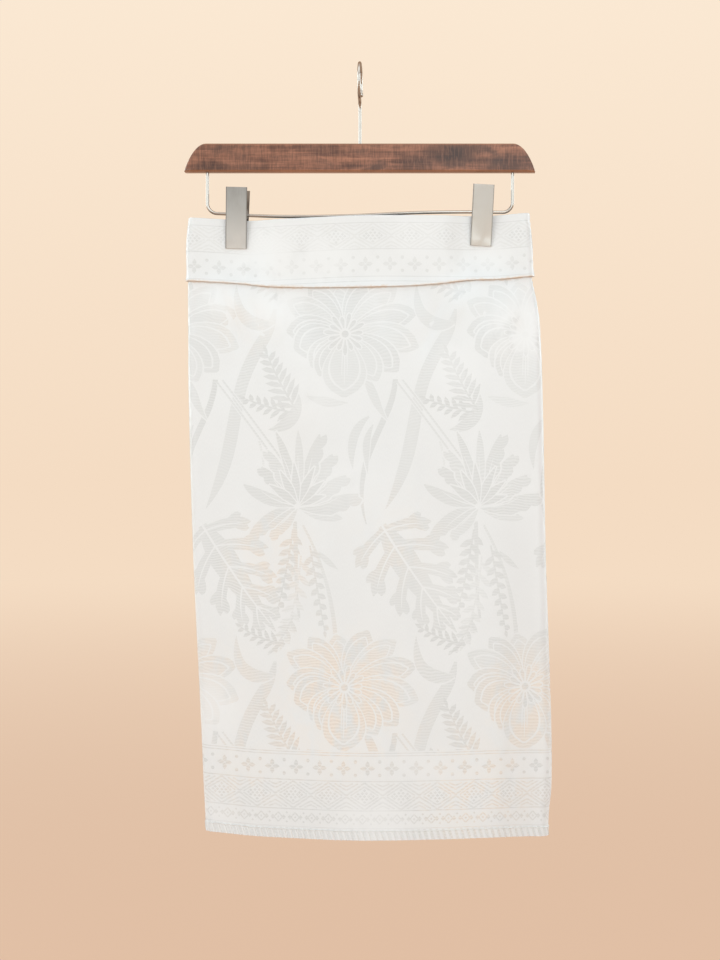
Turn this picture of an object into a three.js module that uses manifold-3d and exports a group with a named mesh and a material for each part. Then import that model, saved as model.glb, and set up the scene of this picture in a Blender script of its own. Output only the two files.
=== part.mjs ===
// A ready-sewn sampin, a tube of songket-style satin with a waistband, hanging flat from a clip hanger.
// Millimetres. +Z is up, +X runs along the hanger to the viewer's right, and +Y points away behind the
// garment. The origin is at the top of the inside of the hook, where the hook hangs from its support.
import * as THREE from 'three';
import { mergeVertices } from 'three/addons/utils/BufferGeometryUtils.js';
import Module from 'manifold-3d';

const manifold = await Module();
manifold.setup();

// Clearances
const GAP = 0.3;

// Wood bar
const BAR_LENGTH = 350;
const BAR_HEIGHT = 28;
const BAR_DEPTH = 13;
const BAR_TOP = -79.5;
const BAR_END_LENGTH = 22;
const BAR_END_FOOT = { in: 2.5, up: 9 };
const BAR_END_SHOULDER = 11.5;
const BAR_EDGE_ROUND = 2;
const SOCKET_DEPTH = 12;

// Steel wire of the hook and of the frame below the bar
const WIRE_RADIUS = 1.6;
const WIRE_SIDES = 10;
const HOOK_INNER_RADIUS = 17.5;
const HOOK_NECK_RADIUS = 10;
const HOOK_TIP_ANGLE = -28;
const HOOK_BALL_RADIUS = 2.4;
const FRAME_CORNER_RADIUS = 10;
const FRAME_UPRIGHT_X = 152.5;

// Height of the frame's lower run, which the garment's weight bends a little
const FRAME_RUN = [
  { x: -142.5, z: -148.6 },
  { x: -134, z: -149.0 },
  { x: -112.5, z: -150.5 },
  { x: -70, z: -151.6 },
  { x: -10, z: -150.8 },
  { x: 36, z: -148.6 },
  { x: 70, z: -147.4 },
  { x: 110, z: -147.0 },
  { x: 142.5, z: -147.4 },
];

// Clips: two steel plates that turn on the frame's lower run and pinch the waistband at their feet
const CLIP_WIDTH = 21;
const CLIP_ABOVE_WIRE = 26;
const CLIP_BELOW_WIRE = 34;
const CLIP_PLATE = 1.2;
const CLIP_TOP_SPREAD = 11;
const CLIP_EAR = 1;
const CLIP_EAR_RADIUS = 3.2;
const CLIP_EAR_RISE = 5.5;
const SPRING_RADIUS = 3.4;
const SPRING_LENGTH = 13;
const CLIP_REST = 0.4;
const CLIPS = [
  { name: 'clip_left', x: -122.6, leanDegrees: 1.5 },
  { name: 'clip_right', x: 122.5, leanDegrees: 3 },
];

// Cloth walls
const BODY_WALL = 1.2;
const BAND_WALL = 1.4;
const BAND_TUCK = 10;
const BAND_EASE = 0.4;
const LIP_FLARE = 0.8;
const LIP_HEIGHT = 9;

// Outer face of the body cloth, a flattened tube: its left and right folds, the radius of those folds,
// and how far its front and back swell beyond that radius
const OUTLINE = [
  { z: -148, left: -169.0, right: 167.8, fold: 4.0, swell: 3.6 },
  { z: -180, left: -172.0, right: 170.8, fold: 4.0, swell: 3.6 },
  { z: -211, left: -171.6, right: 172.2, fold: 4.2, swell: 3.8 },
  { z: -225, left: -172.0, right: 174.6, fold: 4.5, swell: 4.2 },
  { z: -255, left: -171.8, right: 179.6, fold: 5.2, swell: 5.5 },
  { z: -335, left: -171.2, right: 182.9, fold: 6.8, swell: 7.5 },
  { z: -495, left: -166.6, right: 186.1, fold: 8.5, swell: 10.5 },
  { z: -655, left: -158.9, right: 191.3, fold: 9.5, swell: 12.5 },
  { z: -720, left: -156.2, right: 191.5, fold: 9.8, swell: 13.5 },
  { z: -750, left: -154.6, right: 188.8, fold: 10.0, swell: 14.0 },
  { z: -772, left: -154.0, right: 188.4, fold: 10.0, swell: 14.5 },
];

// How squarely the swell falls to the side folds: the left side is the rounder one
const SQUARENESS = { left: 2.2, right: 5 };

// The clips pinch the tube to a few layers, and it opens again below their feet
const GRIP_HALF_DEPTH = 0.2;
const GRIP_HALF_WIDTH = 12.5;
const GRIP_SIDE_FADE = 30;
const GRIP_FOOT_Z = -184;
const GRIP_FOOT_FADE = 58;

// Edges of the cloth, each as heights along x
const BAND_TOP = {
  front: [
    { x: -172, z: -153.8 },
    { x: -135, z: -155.3 },
    { x: -110, z: -156.8 },
    { x: -60, z: -154.8 },
    { x: 10, z: -152.0 },
    { x: 80, z: -152.2 },
    { x: 130, z: -151.7 },
    { x: 170, z: -149.2 },
  ],
  back: [
    { x: -172, z: -153.8 },
    { x: -110, z: -156.4 },
    { x: 0, z: -154.6 },
    { x: 125, z: -152.4 },
    { x: 170, z: -149.2 },
  ],
};
const BAND_LIP = {
  front: [
    { x: -172, z: -216.2 },
    { x: -120, z: -219.0 },
    { x: -90, z: -222.4 },
    { x: -40, z: -223.4 },
    { x: 40, z: -221.9 },
    { x: 80, z: -219.4 },
    { x: 110, z: -215.6 },
    { x: 140, z: -214.6 },
    { x: 173, z: -211.6 },
  ],
  back: [
    { x: -172, z: -216.2 },
    { x: -60, z: -219.6 },
    { x: 60, z: -218.4 },
    { x: 173, z: -211.6 },
  ],
};
const HEM = {
  front: [
    { x: -154, z: -764.0 },
    { x: -108, z: -767.8 },
    { x: -60, z: -769.8 },
    { x: 80, z: -770.0 },
    { x: 130, z: -768.4 },
    { x: 188, z: -769.4 },
  ],
  back: [
    { x: -154, z: -764.0 },
    { x: -80, z: -768.6 },
    { x: 90, z: -770.4 },
    { x: 188, z: -769.4 },
  ],
};

// Broad soft folds of the body cloth: centre, half-width and outward rise, from which height to which,
// and the length over which each end fades
const DRAPE = {
  front: [
    { x: 8, width: 46, rise: 2.4, top: -300, bottom: -900, fade: 260 },
    { x: -66, width: 30, rise: -2.2, top: -280, bottom: -900, fade: 300 },
    { x: -112, width: 26, rise: 1.8, top: -330, bottom: -900, fade: 260 },
    { x: 84, width: 30, rise: -2.4, top: -270, bottom: -900, fade: 300 },
    { x: 140, width: 26, rise: 2.0, top: -400, bottom: -900, fade: 240 },
    { x: 150, width: 18, rise: 1.8, top: -222, bottom: -270, fade: 40 },
    { x: -132, width: 14, rise: -1.6, top: -222, bottom: -300, fade: 60 },
    { x: -60, width: 34, rise: 1.6, top: -225, bottom: -330, fade: 80 },
  ],
  back: [
    { x: -96, width: 34, rise: 2.0, top: -290, bottom: -900, fade: 280 },
    { x: -30, width: 32, rise: -2.4, top: -270, bottom: -900, fade: 300 },
    { x: 44, width: 40, rise: 2.2, top: -320, bottom: -900, fade: 260 },
    { x: 118, width: 28, rise: -2.0, top: -260, bottom: -900, fade: 300 },
    { x: 20, width: 40, rise: 1.6, top: -224, bottom: -320, fade: 80 },
  ],
};

// Fineness of the cloth's rings and rows
const TURN_STEPS = 4;
const FRONT_STEPS = 30;
const BACK_STEPS = 24;
const FRONT_ROWS = 20;
const BACK_ROWS = 16;
const BAND_ROWS = [0, 0.22, 0.44, 0.66, 0.86, 0.93, 1];

const SATIN = { color: 0xefeee9, roughness: 0.42, metalness: 0 };
const WOOD = { color: 0x6b3a2b, roughness: 0.45, metalness: 0 };
const STEEL = { color: 0xb9b6b0, roughness: 0.3, metalness: 1 };
const CLIP_STEEL = { color: 0xaaa59c, roughness: 0.38, metalness: 1 };
const SPRING_STEEL = { color: 0x8d8a86, roughness: 0.35, metalness: 1 };

const { lerp, degToRad } = THREE.MathUtils;

function smooth(t) {
  const c = Math.min(1, Math.max(0, t));
  return c * c * (3 - 2 * c);
}

// Reads one column of a table at a place along another column, on a smooth curve through its rows
function readTable(rows, along, place, column) {
  const rising = rows[rows.length - 1][along] > rows[0][along] ? 1 : -1;
  const last = rows.length - 2;
  let i = 0;
  while (i < last && rising * (place - rows[i + 1][along]) > 0) i += 1;
  const from = rows[i];
  const to = rows[i + 1];
  const before = rows[Math.max(0, i - 1)];
  const after = rows[Math.min(rows.length - 1, i + 2)];
  const span = to[along] - from[along];
  const t = Math.min(1, Math.max(0, (place - from[along]) / span));
  const slopeFrom = span * (to[column] - before[column]) / (to[along] - before[along]);
  const slopeTo = span * (after[column] - from[column]) / (after[along] - from[along]);
  const rise = to[column] - from[column];
  const bend = t * t * (3 - 2 * t);
  return from[column] + bend * rise + t * (1 - t) ** 2 * slopeFrom - t * t * (1 - t) * slopeTo;
}

// Joins and cuts

function toSolid(geometry) {
  const bare = geometry.clone();
  bare.deleteAttribute('normal');
  bare.deleteAttribute('uv');
  const merged = mergeVertices(bare, 1e-4);
  return new manifold.Manifold(new manifold.Mesh({
    numProp: 3,
    vertProperties: new Float32Array(merged.attributes.position.array),
    triVerts: new Uint32Array(merged.index.array),
  }));
}

function toGeometry(solid) {
  const mesh = solid.getMesh();
  const geometry = new THREE.BufferGeometry();
  geometry.setAttribute('position', new THREE.Float32BufferAttribute(mesh.vertProperties, 3));
  geometry.setIndex(new THREE.BufferAttribute(mesh.triVerts, 1));
  geometry.computeVertexNormals();
  return geometry;
}

function namedMesh(name, geometry, finish) {
  const mesh = new THREE.Mesh(geometry, new THREE.MeshStandardMaterial(finish));
  mesh.name = name;
  return mesh;
}

// Wire

// A path through its own stations, so that long straight stretches need no steps
class StationPath extends THREE.Curve {
  constructor(stations) {
    super();
    this.stations = stations;
  }

  getPoint(t) {
    const place = t * (this.stations.length - 1);
    const i = Math.min(this.stations.length - 2, Math.floor(place + 1e-9));
    return this.stations[i].clone().lerp(this.stations[i + 1], place - i);
  }

  getPointAt(t) {
    return this.getPoint(t);
  }

  getTangentAt(t) {
    const last = this.stations.length - 1;
    const i = Math.round(t * last);
    const tangent = new THREE.Vector3();
    if (i > 0) tangent.add(this.stations[i].clone().sub(this.stations[i - 1]).normalize());
    if (i < last) tangent.add(this.stations[i + 1].clone().sub(this.stations[i]).normalize());
    return tangent.normalize();
  }
}

function wireAlong(stations, radius) {
  const section = new THREE.Shape();
  for (let i = 0; i < WIRE_SIDES; i += 1) {
    const angle = (i / WIRE_SIDES) * 2 * Math.PI;
    const [x, y] = [radius * Math.cos(angle), radius * Math.sin(angle)];
    if (i === 0) section.moveTo(x, y);
    else section.lineTo(x, y);
  }
  section.closePath();
  return new THREE.ExtrudeGeometry(section, {
    extrudePath: new StationPath(stations),
    steps: stations.length - 1,
    curveSegments: 1,
    bevelEnabled: false,
  });
}

// Stations of an arc in the plane of two axes, from one angle to another in degrees
function arcStations(centre, radius, fromDegrees, toDegrees, steps, axisA, axisB) {
  const stations = [];
  for (let i = 0; i <= steps; i += 1) {
    const angle = degToRad(lerp(fromDegrees, toDegrees, i / steps));
    const point = centre.clone();
    point.addScaledVector(axisA, radius * Math.cos(angle));
    point.addScaledVector(axisB, radius * Math.sin(angle));
    stations.push(point);
  }
  return stations;
}

const AXIS_X = new THREE.Vector3(1, 0, 0);
const AXIS_Y = new THREE.Vector3(0, 1, 0);
const AXIS_Z = new THREE.Vector3(0, 0, 1);

// The hook: a stem up from the bar, a neck that bows to the front, and a loop over the support whose
// free end stops behind it
function hookGeometry() {
  const loopRadius = HOOK_INNER_RADIUS + WIRE_RADIUS;
  const loopCentre = new THREE.Vector3(0, 0, -HOOK_INNER_RADIUS);
  const reach = Math.sqrt((loopRadius + HOOK_NECK_RADIUS) ** 2 - HOOK_NECK_RADIUS ** 2);
  const neckCentre = new THREE.Vector3(0, -HOOK_NECK_RADIUS, loopCentre.z - reach);
  const neckTurn = THREE.MathUtils.radToDeg(Math.atan2(reach, HOOK_NECK_RADIUS));
  const stations = [
    new THREE.Vector3(0, 0, BAR_TOP - SOCKET_DEPTH + GAP),
    ...arcStations(neckCentre, HOOK_NECK_RADIUS, 0, neckTurn, 5, AXIS_Y, AXIS_Z),
    ...arcStations(loopCentre, loopRadius, 180 + neckTurn, HOOK_TIP_ANGLE, 26, AXIS_Y, AXIS_Z).slice(1),
  ];
  const ball = new THREE.SphereGeometry(HOOK_BALL_RADIUS, 12, 8);
  ball.translate(...stations[stations.length - 1].toArray());
  return toGeometry(toSolid(wireAlong(stations, WIRE_RADIUS)).add(toSolid(ball)));
}

// Stations of the frame: down from the bar, round a corner, along the lower run and up again
function frameStations() {
  const socketEnd = BAR_TOP - BAR_HEIGHT + SOCKET_DEPTH - GAP;
  const first = FRAME_RUN[0];
  const last = FRAME_RUN[FRAME_RUN.length - 1];
  const leftCorner = new THREE.Vector3(first.x, 0, first.z + FRAME_CORNER_RADIUS);
  const rightCorner = new THREE.Vector3(last.x, 0, last.z + FRAME_CORNER_RADIUS);
  const run = [];
  for (let i = 1; i < 24; i += 1) {
    const x = lerp(first.x, last.x, i / 24);
    run.push(new THREE.Vector3(x, 0, readTable(FRAME_RUN, 'x', x, 'z')));
  }
  return [
    new THREE.Vector3(-FRAME_UPRIGHT_X, 0, socketEnd),
    ...arcStations(leftCorner, FRAME_CORNER_RADIUS, 180, 270, 6, AXIS_X, AXIS_Z),
    ...run,
    ...arcStations(rightCorner, FRAME_CORNER_RADIUS, -90, 0, 6, AXIS_X, AXIS_Z),
    new THREE.Vector3(FRAME_UPRIGHT_X, 0, socketEnd),
  ];
}

// Wood bar, with sockets for the hook's stem and the frame's two ends

function barGeometry() {
  const half = BAR_LENGTH / 2;
  const bottom = BAR_TOP - BAR_HEIGHT;
  const outline = new THREE.Shape();
  outline.moveTo(-half, bottom);
  outline.lineTo(half, bottom);
  const shoulder = half - BAR_END_LENGTH;
  const foot = { x: half - BAR_END_FOOT.in, z: bottom + BAR_END_FOOT.up };
  outline.bezierCurveTo(foot.x, foot.z, shoulder + BAR_END_SHOULDER, BAR_TOP, shoulder, BAR_TOP);
  outline.lineTo(-shoulder, BAR_TOP);
  outline.bezierCurveTo(-shoulder - BAR_END_SHOULDER, BAR_TOP, -foot.x, foot.z, -half, bottom);
  const slab = new THREE.ExtrudeGeometry(outline, {
    depth: BAR_DEPTH - 2 * BAR_EDGE_ROUND,
    curveSegments: 8,
    bevelThickness: BAR_EDGE_ROUND,
    bevelSize: BAR_EDGE_ROUND,
    bevelOffset: -BAR_EDGE_ROUND,
    bevelSegments: 2,
  });
  slab.rotateX(Math.PI / 2);
  slab.translate(0, BAR_DEPTH / 2 - BAR_EDGE_ROUND, 0);
  const sockets = [
    { x: 0, mouth: BAR_TOP },
    { x: -FRAME_UPRIGHT_X, mouth: bottom },
    { x: FRAME_UPRIGHT_X, mouth: bottom },
  ];
  return toGeometry(sockets.reduce((bar, socket) => {
    const drill = new THREE.CylinderGeometry(WIRE_RADIUS + GAP, WIRE_RADIUS + GAP, 2 * SOCKET_DEPTH, 12);
    drill.rotateX(Math.PI / 2);
    drill.translate(socket.x, 0, socket.mouth);
    return bar.subtract(toSolid(drill));
  }, toSolid(slab)));
}

// Clips

// One plate with its two ears, in the clip's own frame: the wire passes through the origin along x, and
// the plate lies in front of it
function clipPlate(earX) {
  const footFace = -(GRIP_HALF_DEPTH + BAND_EASE + BAND_WALL + CLIP_REST);
  const height = CLIP_ABOVE_WIRE + CLIP_BELOW_WIRE;
  const slope = (CLIP_TOP_SPREAD + footFace) / height;
  const faceAtWire = footFace - slope * CLIP_BELOW_WIRE;
  const plate = new THREE.Shape([
    new THREE.Vector2(footFace, -CLIP_BELOW_WIRE),
    new THREE.Vector2(-CLIP_TOP_SPREAD, CLIP_ABOVE_WIRE),
    new THREE.Vector2(-CLIP_TOP_SPREAD - CLIP_PLATE, CLIP_ABOVE_WIRE),
    new THREE.Vector2(footFace - CLIP_PLATE, -CLIP_BELOW_WIRE),
  ]);
  const ear = new THREE.Shape();
  ear.moveTo(faceAtWire - CLIP_PLATE / 2, -CLIP_EAR_RADIUS);
  ear.lineTo(0, -CLIP_EAR_RADIUS);
  ear.absarc(0, 0, CLIP_EAR_RADIUS, -Math.PI / 2, Math.PI / 2, false);
  ear.lineTo(faceAtWire - CLIP_PLATE / 2, CLIP_EAR_RISE);
  ear.closePath();
  const alongX = (shape, thickness, middle) => {
    const slab = new THREE.ExtrudeGeometry(shape, { depth: thickness, bevelEnabled: false, curveSegments: 6 });
    slab.applyMatrix4(new THREE.Matrix4().makeBasis(AXIS_Y, AXIS_Z, AXIS_X));
    slab.translate(middle - thickness / 2, 0, 0);
    return toSolid(slab);
  };
  return alongX(plate, CLIP_WIDTH, 0).add(alongX(ear, CLIP_EAR, earX)).add(alongX(ear, CLIP_EAR, -earX));
}

function buildClip(clip) {
  const group = new THREE.Group();
  group.position.set(clip.x, 0, readTable(FRAME_RUN, 'x', clip.x, 'z'));
  group.rotation.y = degToRad(clip.leanDegrees);
  group.updateMatrixWorld();
  const passage = wireAlong(frameStations(), WIRE_RADIUS + GAP);
  passage.applyMatrix4(group.matrixWorld.clone().invert());
  const wirePassage = toSolid(passage);
  const outerEar = CLIP_WIDTH / 2 - CLIP_EAR / 2;
  const innerEar = outerEar - CLIP_EAR - GAP;
  const half = Math.PI;
  const front = clipPlate(outerEar).subtract(wirePassage);
  const back = toSolid(toGeometry(clipPlate(innerEar)).rotateZ(half)).subtract(wirePassage);
  const coil = new THREE.CylinderGeometry(SPRING_RADIUS, SPRING_RADIUS, SPRING_LENGTH, 14);
  coil.rotateZ(Math.PI / 2);
  const spring = toSolid(coil).subtract(wirePassage);
  group.add(namedMesh(`${clip.name}_front`, toGeometry(front), CLIP_STEEL));
  group.add(namedMesh(`${clip.name}_back`, toGeometry(back), CLIP_STEEL));
  group.add(namedMesh(`${clip.name}_spring`, toGeometry(spring), SPRING_STEEL));
  return group;
}

// Cloth

// How firmly the clips hold the cloth at a place, from 0 to 1
function gripAt(x, z) {
  const along = 1 - smooth((GRIP_FOOT_Z - z) / GRIP_FOOT_FADE);
  const across = CLIPS.map((clip) => 1 - smooth((Math.abs(x - clip.x) - GRIP_HALF_WIDTH) / GRIP_SIDE_FADE));
  return along * Math.max(...across);
}

function drapeAt(x, z, half) {
  return DRAPE[half].reduce((sum, fold) => {
    const starts = smooth((fold.top - z) / fold.fade);
    const ends = 1 - smooth((fold.bottom - z) / fold.fade);
    return sum + fold.rise * starts * ends * Math.exp(-(((x - fold.x) / fold.width) ** 2));
  }, 0);
}

// Distance of the body cloth's outer face from the garment's middle plane
function halfDepth(x, z, half, ring) {
  const middle = (ring.left + ring.right) / 2;
  const reach = (ring.right - ring.left) / 2 - ring.fold;
  const across = Math.min(1, Math.abs(x - middle) / reach);
  const squareness = x < middle ? SQUARENESS.left : SQUARENESS.right;
  const swell = ring.swell * (1 - across ** squareness) ** 2;
  const drape = drapeAt(x, z, half) * (1 - across ** 8) ** 2;
  return lerp(ring.fold + swell + drape, GRIP_HALF_DEPTH, gripAt(x, z));
}

function ringAt(z) {
  const ring = {};
  for (const column of ['left', 'right', 'fold', 'swell']) ring[column] = readTable(OUTLINE, 'z', z, column);
  return ring;
}

// A point of a cloth wall: half is front or back, station its place across, and out how far it lies
// outside the body cloth's outer face
function clothPoint(half, station, z, out) {
  const side = half === 'front' ? -1 : 1;
  const ring = ringAt(z);
  const radius = ring.fold + out;
  if (station.turn !== undefined) {
    const angle = degToRad(station.turn);
    const centre = station.left ? ring.left + ring.fold : ring.right - ring.fold;
    const x = centre + (station.left ? -radius : radius) * Math.cos(angle);
    const depth = GAP / 2 + (radius - GAP / 2) * Math.sin(angle);
    return new THREE.Vector3(x, side * depth, z);
  }
  const x = lerp(ring.left + ring.fold, ring.right - ring.fold, station.across);
  return new THREE.Vector3(x, side * (halfDepth(x, z, half, ring) + out), z);
}

// Places across half the tube: a quarter turn at the left fold, the flat run and a quarter turn at the right
function stationsAcross(runSteps) {
  const stations = [];
  for (let i = 0; i < TURN_STEPS; i += 1) stations.push({ left: true, turn: (90 * i) / TURN_STEPS });
  for (let i = 0; i <= runSteps; i += 1) stations.push({ across: i / runSteps });
  for (let i = TURN_STEPS - 1; i >= 0; i -= 1) stations.push({ left: false, turn: (90 * i) / TURN_STEPS });
  return stations;
}

// A closed wall between an outer and an inner grid of points, with rows down and columns across
function closedWall(outer, inner, flip) {
  const rows = outer.length;
  const columns = outer[0].length;
  const points = [...outer.flat(), ...inner.flat()];
  const triangles = [];
  const at = (layer, row, column) => layer * rows * columns + row * columns + column;
  const quad = (a, b, c, d) => {
    if (flip) triangles.push(a, c, b, a, d, c);
    else triangles.push(a, b, c, a, c, d);
  };
  for (let r = 0; r < rows - 1; r += 1) {
    for (let c = 0; c < columns - 1; c += 1) {
      quad(at(0, r, c), at(0, r + 1, c), at(0, r + 1, c + 1), at(0, r, c + 1));
      quad(at(1, r, c), at(1, r, c + 1), at(1, r + 1, c + 1), at(1, r + 1, c));
    }
    quad(at(0, r, 0), at(1, r, 0), at(1, r + 1, 0), at(0, r + 1, 0));
    const end = columns - 1;
    quad(at(0, r, end), at(0, r + 1, end), at(1, r + 1, end), at(1, r, end));
  }
  for (let c = 0; c < columns - 1; c += 1) {
    quad(at(0, 0, c), at(0, 0, c + 1), at(1, 0, c + 1), at(1, 0, c));
    const end = rows - 1;
    quad(at(0, end, c), at(1, end, c), at(1, end, c + 1), at(0, end, c + 1));
  }
  const geometry = new THREE.BufferGeometry();
  geometry.setAttribute('position', new THREE.Float32BufferAttribute(points.flatMap((p) => p.toArray()), 3));
  geometry.setIndex(triangles);
  geometry.computeVertexNormals();
  return geometry;
}

// A wall of cloth between two edges: rows are fractions of the way down, outs gives the distances of its
// outer and inner faces at a height, and rise lifts its upper edge
function clothWall(half, runSteps, rows, edges, outs) {
  const stations = stationsAcross(runSteps);
  const face = (layer) => rows.map((down) => stations.map((station) => {
    const topX = clothPoint(half, station, edges.top[half][0].z, 0).x;
    const bottomX = clothPoint(half, station, edges.bottom[half][0].z, 0).x;
    const top = readTable(edges.top[half], 'x', topX, 'z') + edges.rise;
    const bottom = readTable(edges.bottom[half], 'x', bottomX, 'z');
    const z = lerp(top, bottom, down);
    return clothPoint(half, station, z, outs(z, bottom)[layer]);
  }));
  return closedWall(face(0), face(1), half === 'back');
}

function evenRows(count) {
  return Array.from({ length: count + 1 }, (unused, i) => i / count);
}

function panelGeometry(half) {
  const runSteps = half === 'front' ? FRONT_STEPS : BACK_STEPS;
  const rows = evenRows(half === 'front' ? FRONT_ROWS : BACK_ROWS);
  const edges = { top: BAND_LIP, bottom: HEM, rise: BAND_TUCK };
  return clothWall(half, runSteps, rows, edges, () => [0, -BODY_WALL]);
}

// The band's lower edge stands off the body cloth as a lip
function bandGeometry(half) {
  const runSteps = half === 'front' ? FRONT_STEPS : BACK_STEPS;
  const edges = { top: BAND_TOP, bottom: BAND_LIP, rise: 0 };
  return clothWall(half, runSteps, BAND_ROWS, edges, (z, lip) => {
    const inner = BAND_EASE + LIP_FLARE * smooth((lip + LIP_HEIGHT - z) / LIP_HEIGHT);
    return [inner + BAND_WALL, inner];
  });
}

const sampin = new THREE.Group();
sampin.add(namedMesh('hanger_bar', barGeometry(), WOOD));
sampin.add(namedMesh('hanger_hook', hookGeometry(), STEEL));
sampin.add(namedMesh('hanger_wire', wireAlong(frameStations(), WIRE_RADIUS), STEEL));
for (const clip of CLIPS) sampin.add(buildClip(clip));
for (const half of ['front', 'back']) {
  sampin.add(namedMesh(`band_${half}`, bandGeometry(half), SATIN));
  sampin.add(namedMesh(`panel_${half}`, panelGeometry(half), SATIN));
}

export default sampin;
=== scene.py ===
"""A ready-sewn sampin of white satin brocade, hanging from a wooden clip hanger.

Lengths are in millimetres until a mesh is made. x runs to the viewer's right, y to the back and z up.
"""
import math

import bpy
import numpy as np
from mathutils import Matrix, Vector
from mathutils.geometry import delaunay_2d_cdt


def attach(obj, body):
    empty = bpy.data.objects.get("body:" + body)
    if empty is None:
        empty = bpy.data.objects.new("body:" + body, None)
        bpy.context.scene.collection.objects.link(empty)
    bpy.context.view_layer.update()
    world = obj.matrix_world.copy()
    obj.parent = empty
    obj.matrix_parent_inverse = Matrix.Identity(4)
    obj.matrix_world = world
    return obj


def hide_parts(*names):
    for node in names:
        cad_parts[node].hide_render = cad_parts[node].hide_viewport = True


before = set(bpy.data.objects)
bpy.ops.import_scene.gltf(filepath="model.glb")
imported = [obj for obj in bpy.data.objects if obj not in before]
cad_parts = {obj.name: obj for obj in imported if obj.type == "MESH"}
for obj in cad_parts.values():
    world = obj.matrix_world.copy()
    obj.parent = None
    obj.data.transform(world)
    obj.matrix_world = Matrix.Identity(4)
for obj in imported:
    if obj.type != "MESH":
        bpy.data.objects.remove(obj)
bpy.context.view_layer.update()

MM = 0.001

# The garment's form, as in the solids
OUTLINE = {
    "z": (-148, -180, -211, -225, -255, -335, -495, -655, -720, -750, -772),
    "left": (-169.0, -172.0, -171.6, -172.0, -171.8, -171.2, -166.6, -158.9, -156.2, -154.6, -154.0),
    "right": (167.8, 170.8, 172.2, 174.6, 179.6, 182.9, 186.1, 191.3, 191.5, 188.8, 188.4),
    "fold": (4.0, 4.0, 4.2, 4.5, 5.2, 6.8, 8.5, 9.5, 9.8, 10.0, 10.0),
    "swell": (3.6, 3.6, 3.8, 4.2, 5.5, 7.5, 10.5, 12.5, 13.5, 14.0, 14.5),
}
SQUARENESS = {"left": 2.2, "right": 5.0}
GRIP = {"centres": (-122.6, 122.5), "half_depth": 0.2, "half_width": 12.5, "side_fade": 30,
        "foot": -184, "fade": 58}
BAND_EASE = 0.4
BAND_WALL = 1.4
LIP_FLARE = 0.8
LIP_HEIGHT = 9
TUCK = 8
CLOTH_THICKNESS = 0.6

# Edges of the cloth, as heights along x
EDGES = {
    "band_top": {
        "front": ((-172, -135, -110, -60, 10, 80, 130, 170),
                  (-153.8, -155.3, -156.8, -154.8, -152.0, -152.2, -151.7, -149.2)),
        "back": ((-172, -110, 0, 125, 170), (-153.8, -156.4, -154.6, -152.4, -149.2)),
    },
    "band_lip": {
        "front": ((-172, -120, -90, -40, 40, 80, 110, 140, 173),
                  (-216.2, -219.0, -222.4, -223.4, -221.9, -219.4, -215.6, -214.6, -211.6)),
        "back": ((-172, -60, 60, 173), (-216.2, -219.6, -218.4, -211.6)),
    },
    "hem": {
        "front": ((-154, -108, -60, 80, 130, 188), (-764.0, -767.8, -769.8, -770.0, -768.4, -769.4)),
        "back": ((-154, -80, 90, 188), (-764.0, -768.6, -770.4, -769.4)),
    },
}

# Soft folds: centre, half-width, outward rise, top and bottom heights, fade at each end, and how far the
# fold leans to the right for each millimetre down
FOLDS = {
    "front": (
        (8, 46, 2.4, -300, -900, 260, 0.0), (-66, 30, -2.2, -280, -900, 300, 0.0),
        (-112, 26, 1.8, -330, -900, 260, 0.0), (84, 30, -2.4, -270, -900, 300, 0.0),
        (140, 26, 2.0, -400, -900, 240, 0.0), (150, 18, 1.8, -222, -270, 40, 0.0),
        (-132, 14, -1.6, -222, -300, 60, 0.0), (-60, 34, 1.6, -225, -330, 80, 0.0),
    ),
    "back": (
        (-96, 34, 2.0, -290, -900, 280, 0.0), (-30, 32, -2.4, -270, -900, 300, 0.0),
        (44, 40, 2.2, -320, -900, 260, 0.0), (118, 28, -2.0, -260, -900, 300, 0.0),
        (20, 40, 1.6, -224, -320, 80, 0.0),
    ),
}

# Small creases under the waistband, where the cloth is eased into it: the same columns as above
PUCKERS = {
    "front": (
        (-160, 5, -1.3, -212, -246, 26, -0.10), (-149, 4, 1.0, -214, -240, 24, 0.12),
        (-139, 5, -1.2, -214, -262, 30, 0.25), (-126, 6, 1.1, -214, -250, 30, 0.22),
        (-112, 5, -0.9, -218, -262, 34, 0.30), (-88, 7, 0.9, -220, -250, 34, 0.10),
        (-52, 9, -0.7, -222, -254, 30, 0.08), (-18, 9, 0.7, -222, -262, 34, -0.06),
        (28, 8, -0.8, -221, -250, 34, -0.05), (58, 7, 0.8, -218, -262, 36, -0.18),
        (84, 6, -1.0, -216, -268, 34, -0.28), (103, 5, 1.0, -214, -244, 28, -0.20),
        (128, 6, -1.0, -212, -250, 26, -0.10), (150, 5, 1.3, -210, -244, 26, 0.16),
        (163, 5, -1.4, -209, -262, 30, 0.26),
    ),
    "back": (
        (-158, 5, 1.1, -214, -246, 26, 0.10), (-140, 6, -1.2, -214, -262, 30, 0.22),
        (-118, 6, 1.0, -214, -250, 30, 0.28), (-84, 8, -0.9, -218, -254, 34, 0.10),
        (-40, 9, 0.8, -218, -262, 34, 0.05), (6, 9, -0.8, -218, -250, 34, 0.0),
        (48, 8, 0.9, -216, -258, 34, -0.12), (90, 7, -1.0, -214, -266, 34, -0.26),
        (122, 6, 1.1, -212, -248, 28, -0.12), (156, 5, -1.3, -210, -256, 28, 0.18),
    ),
}

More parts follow.
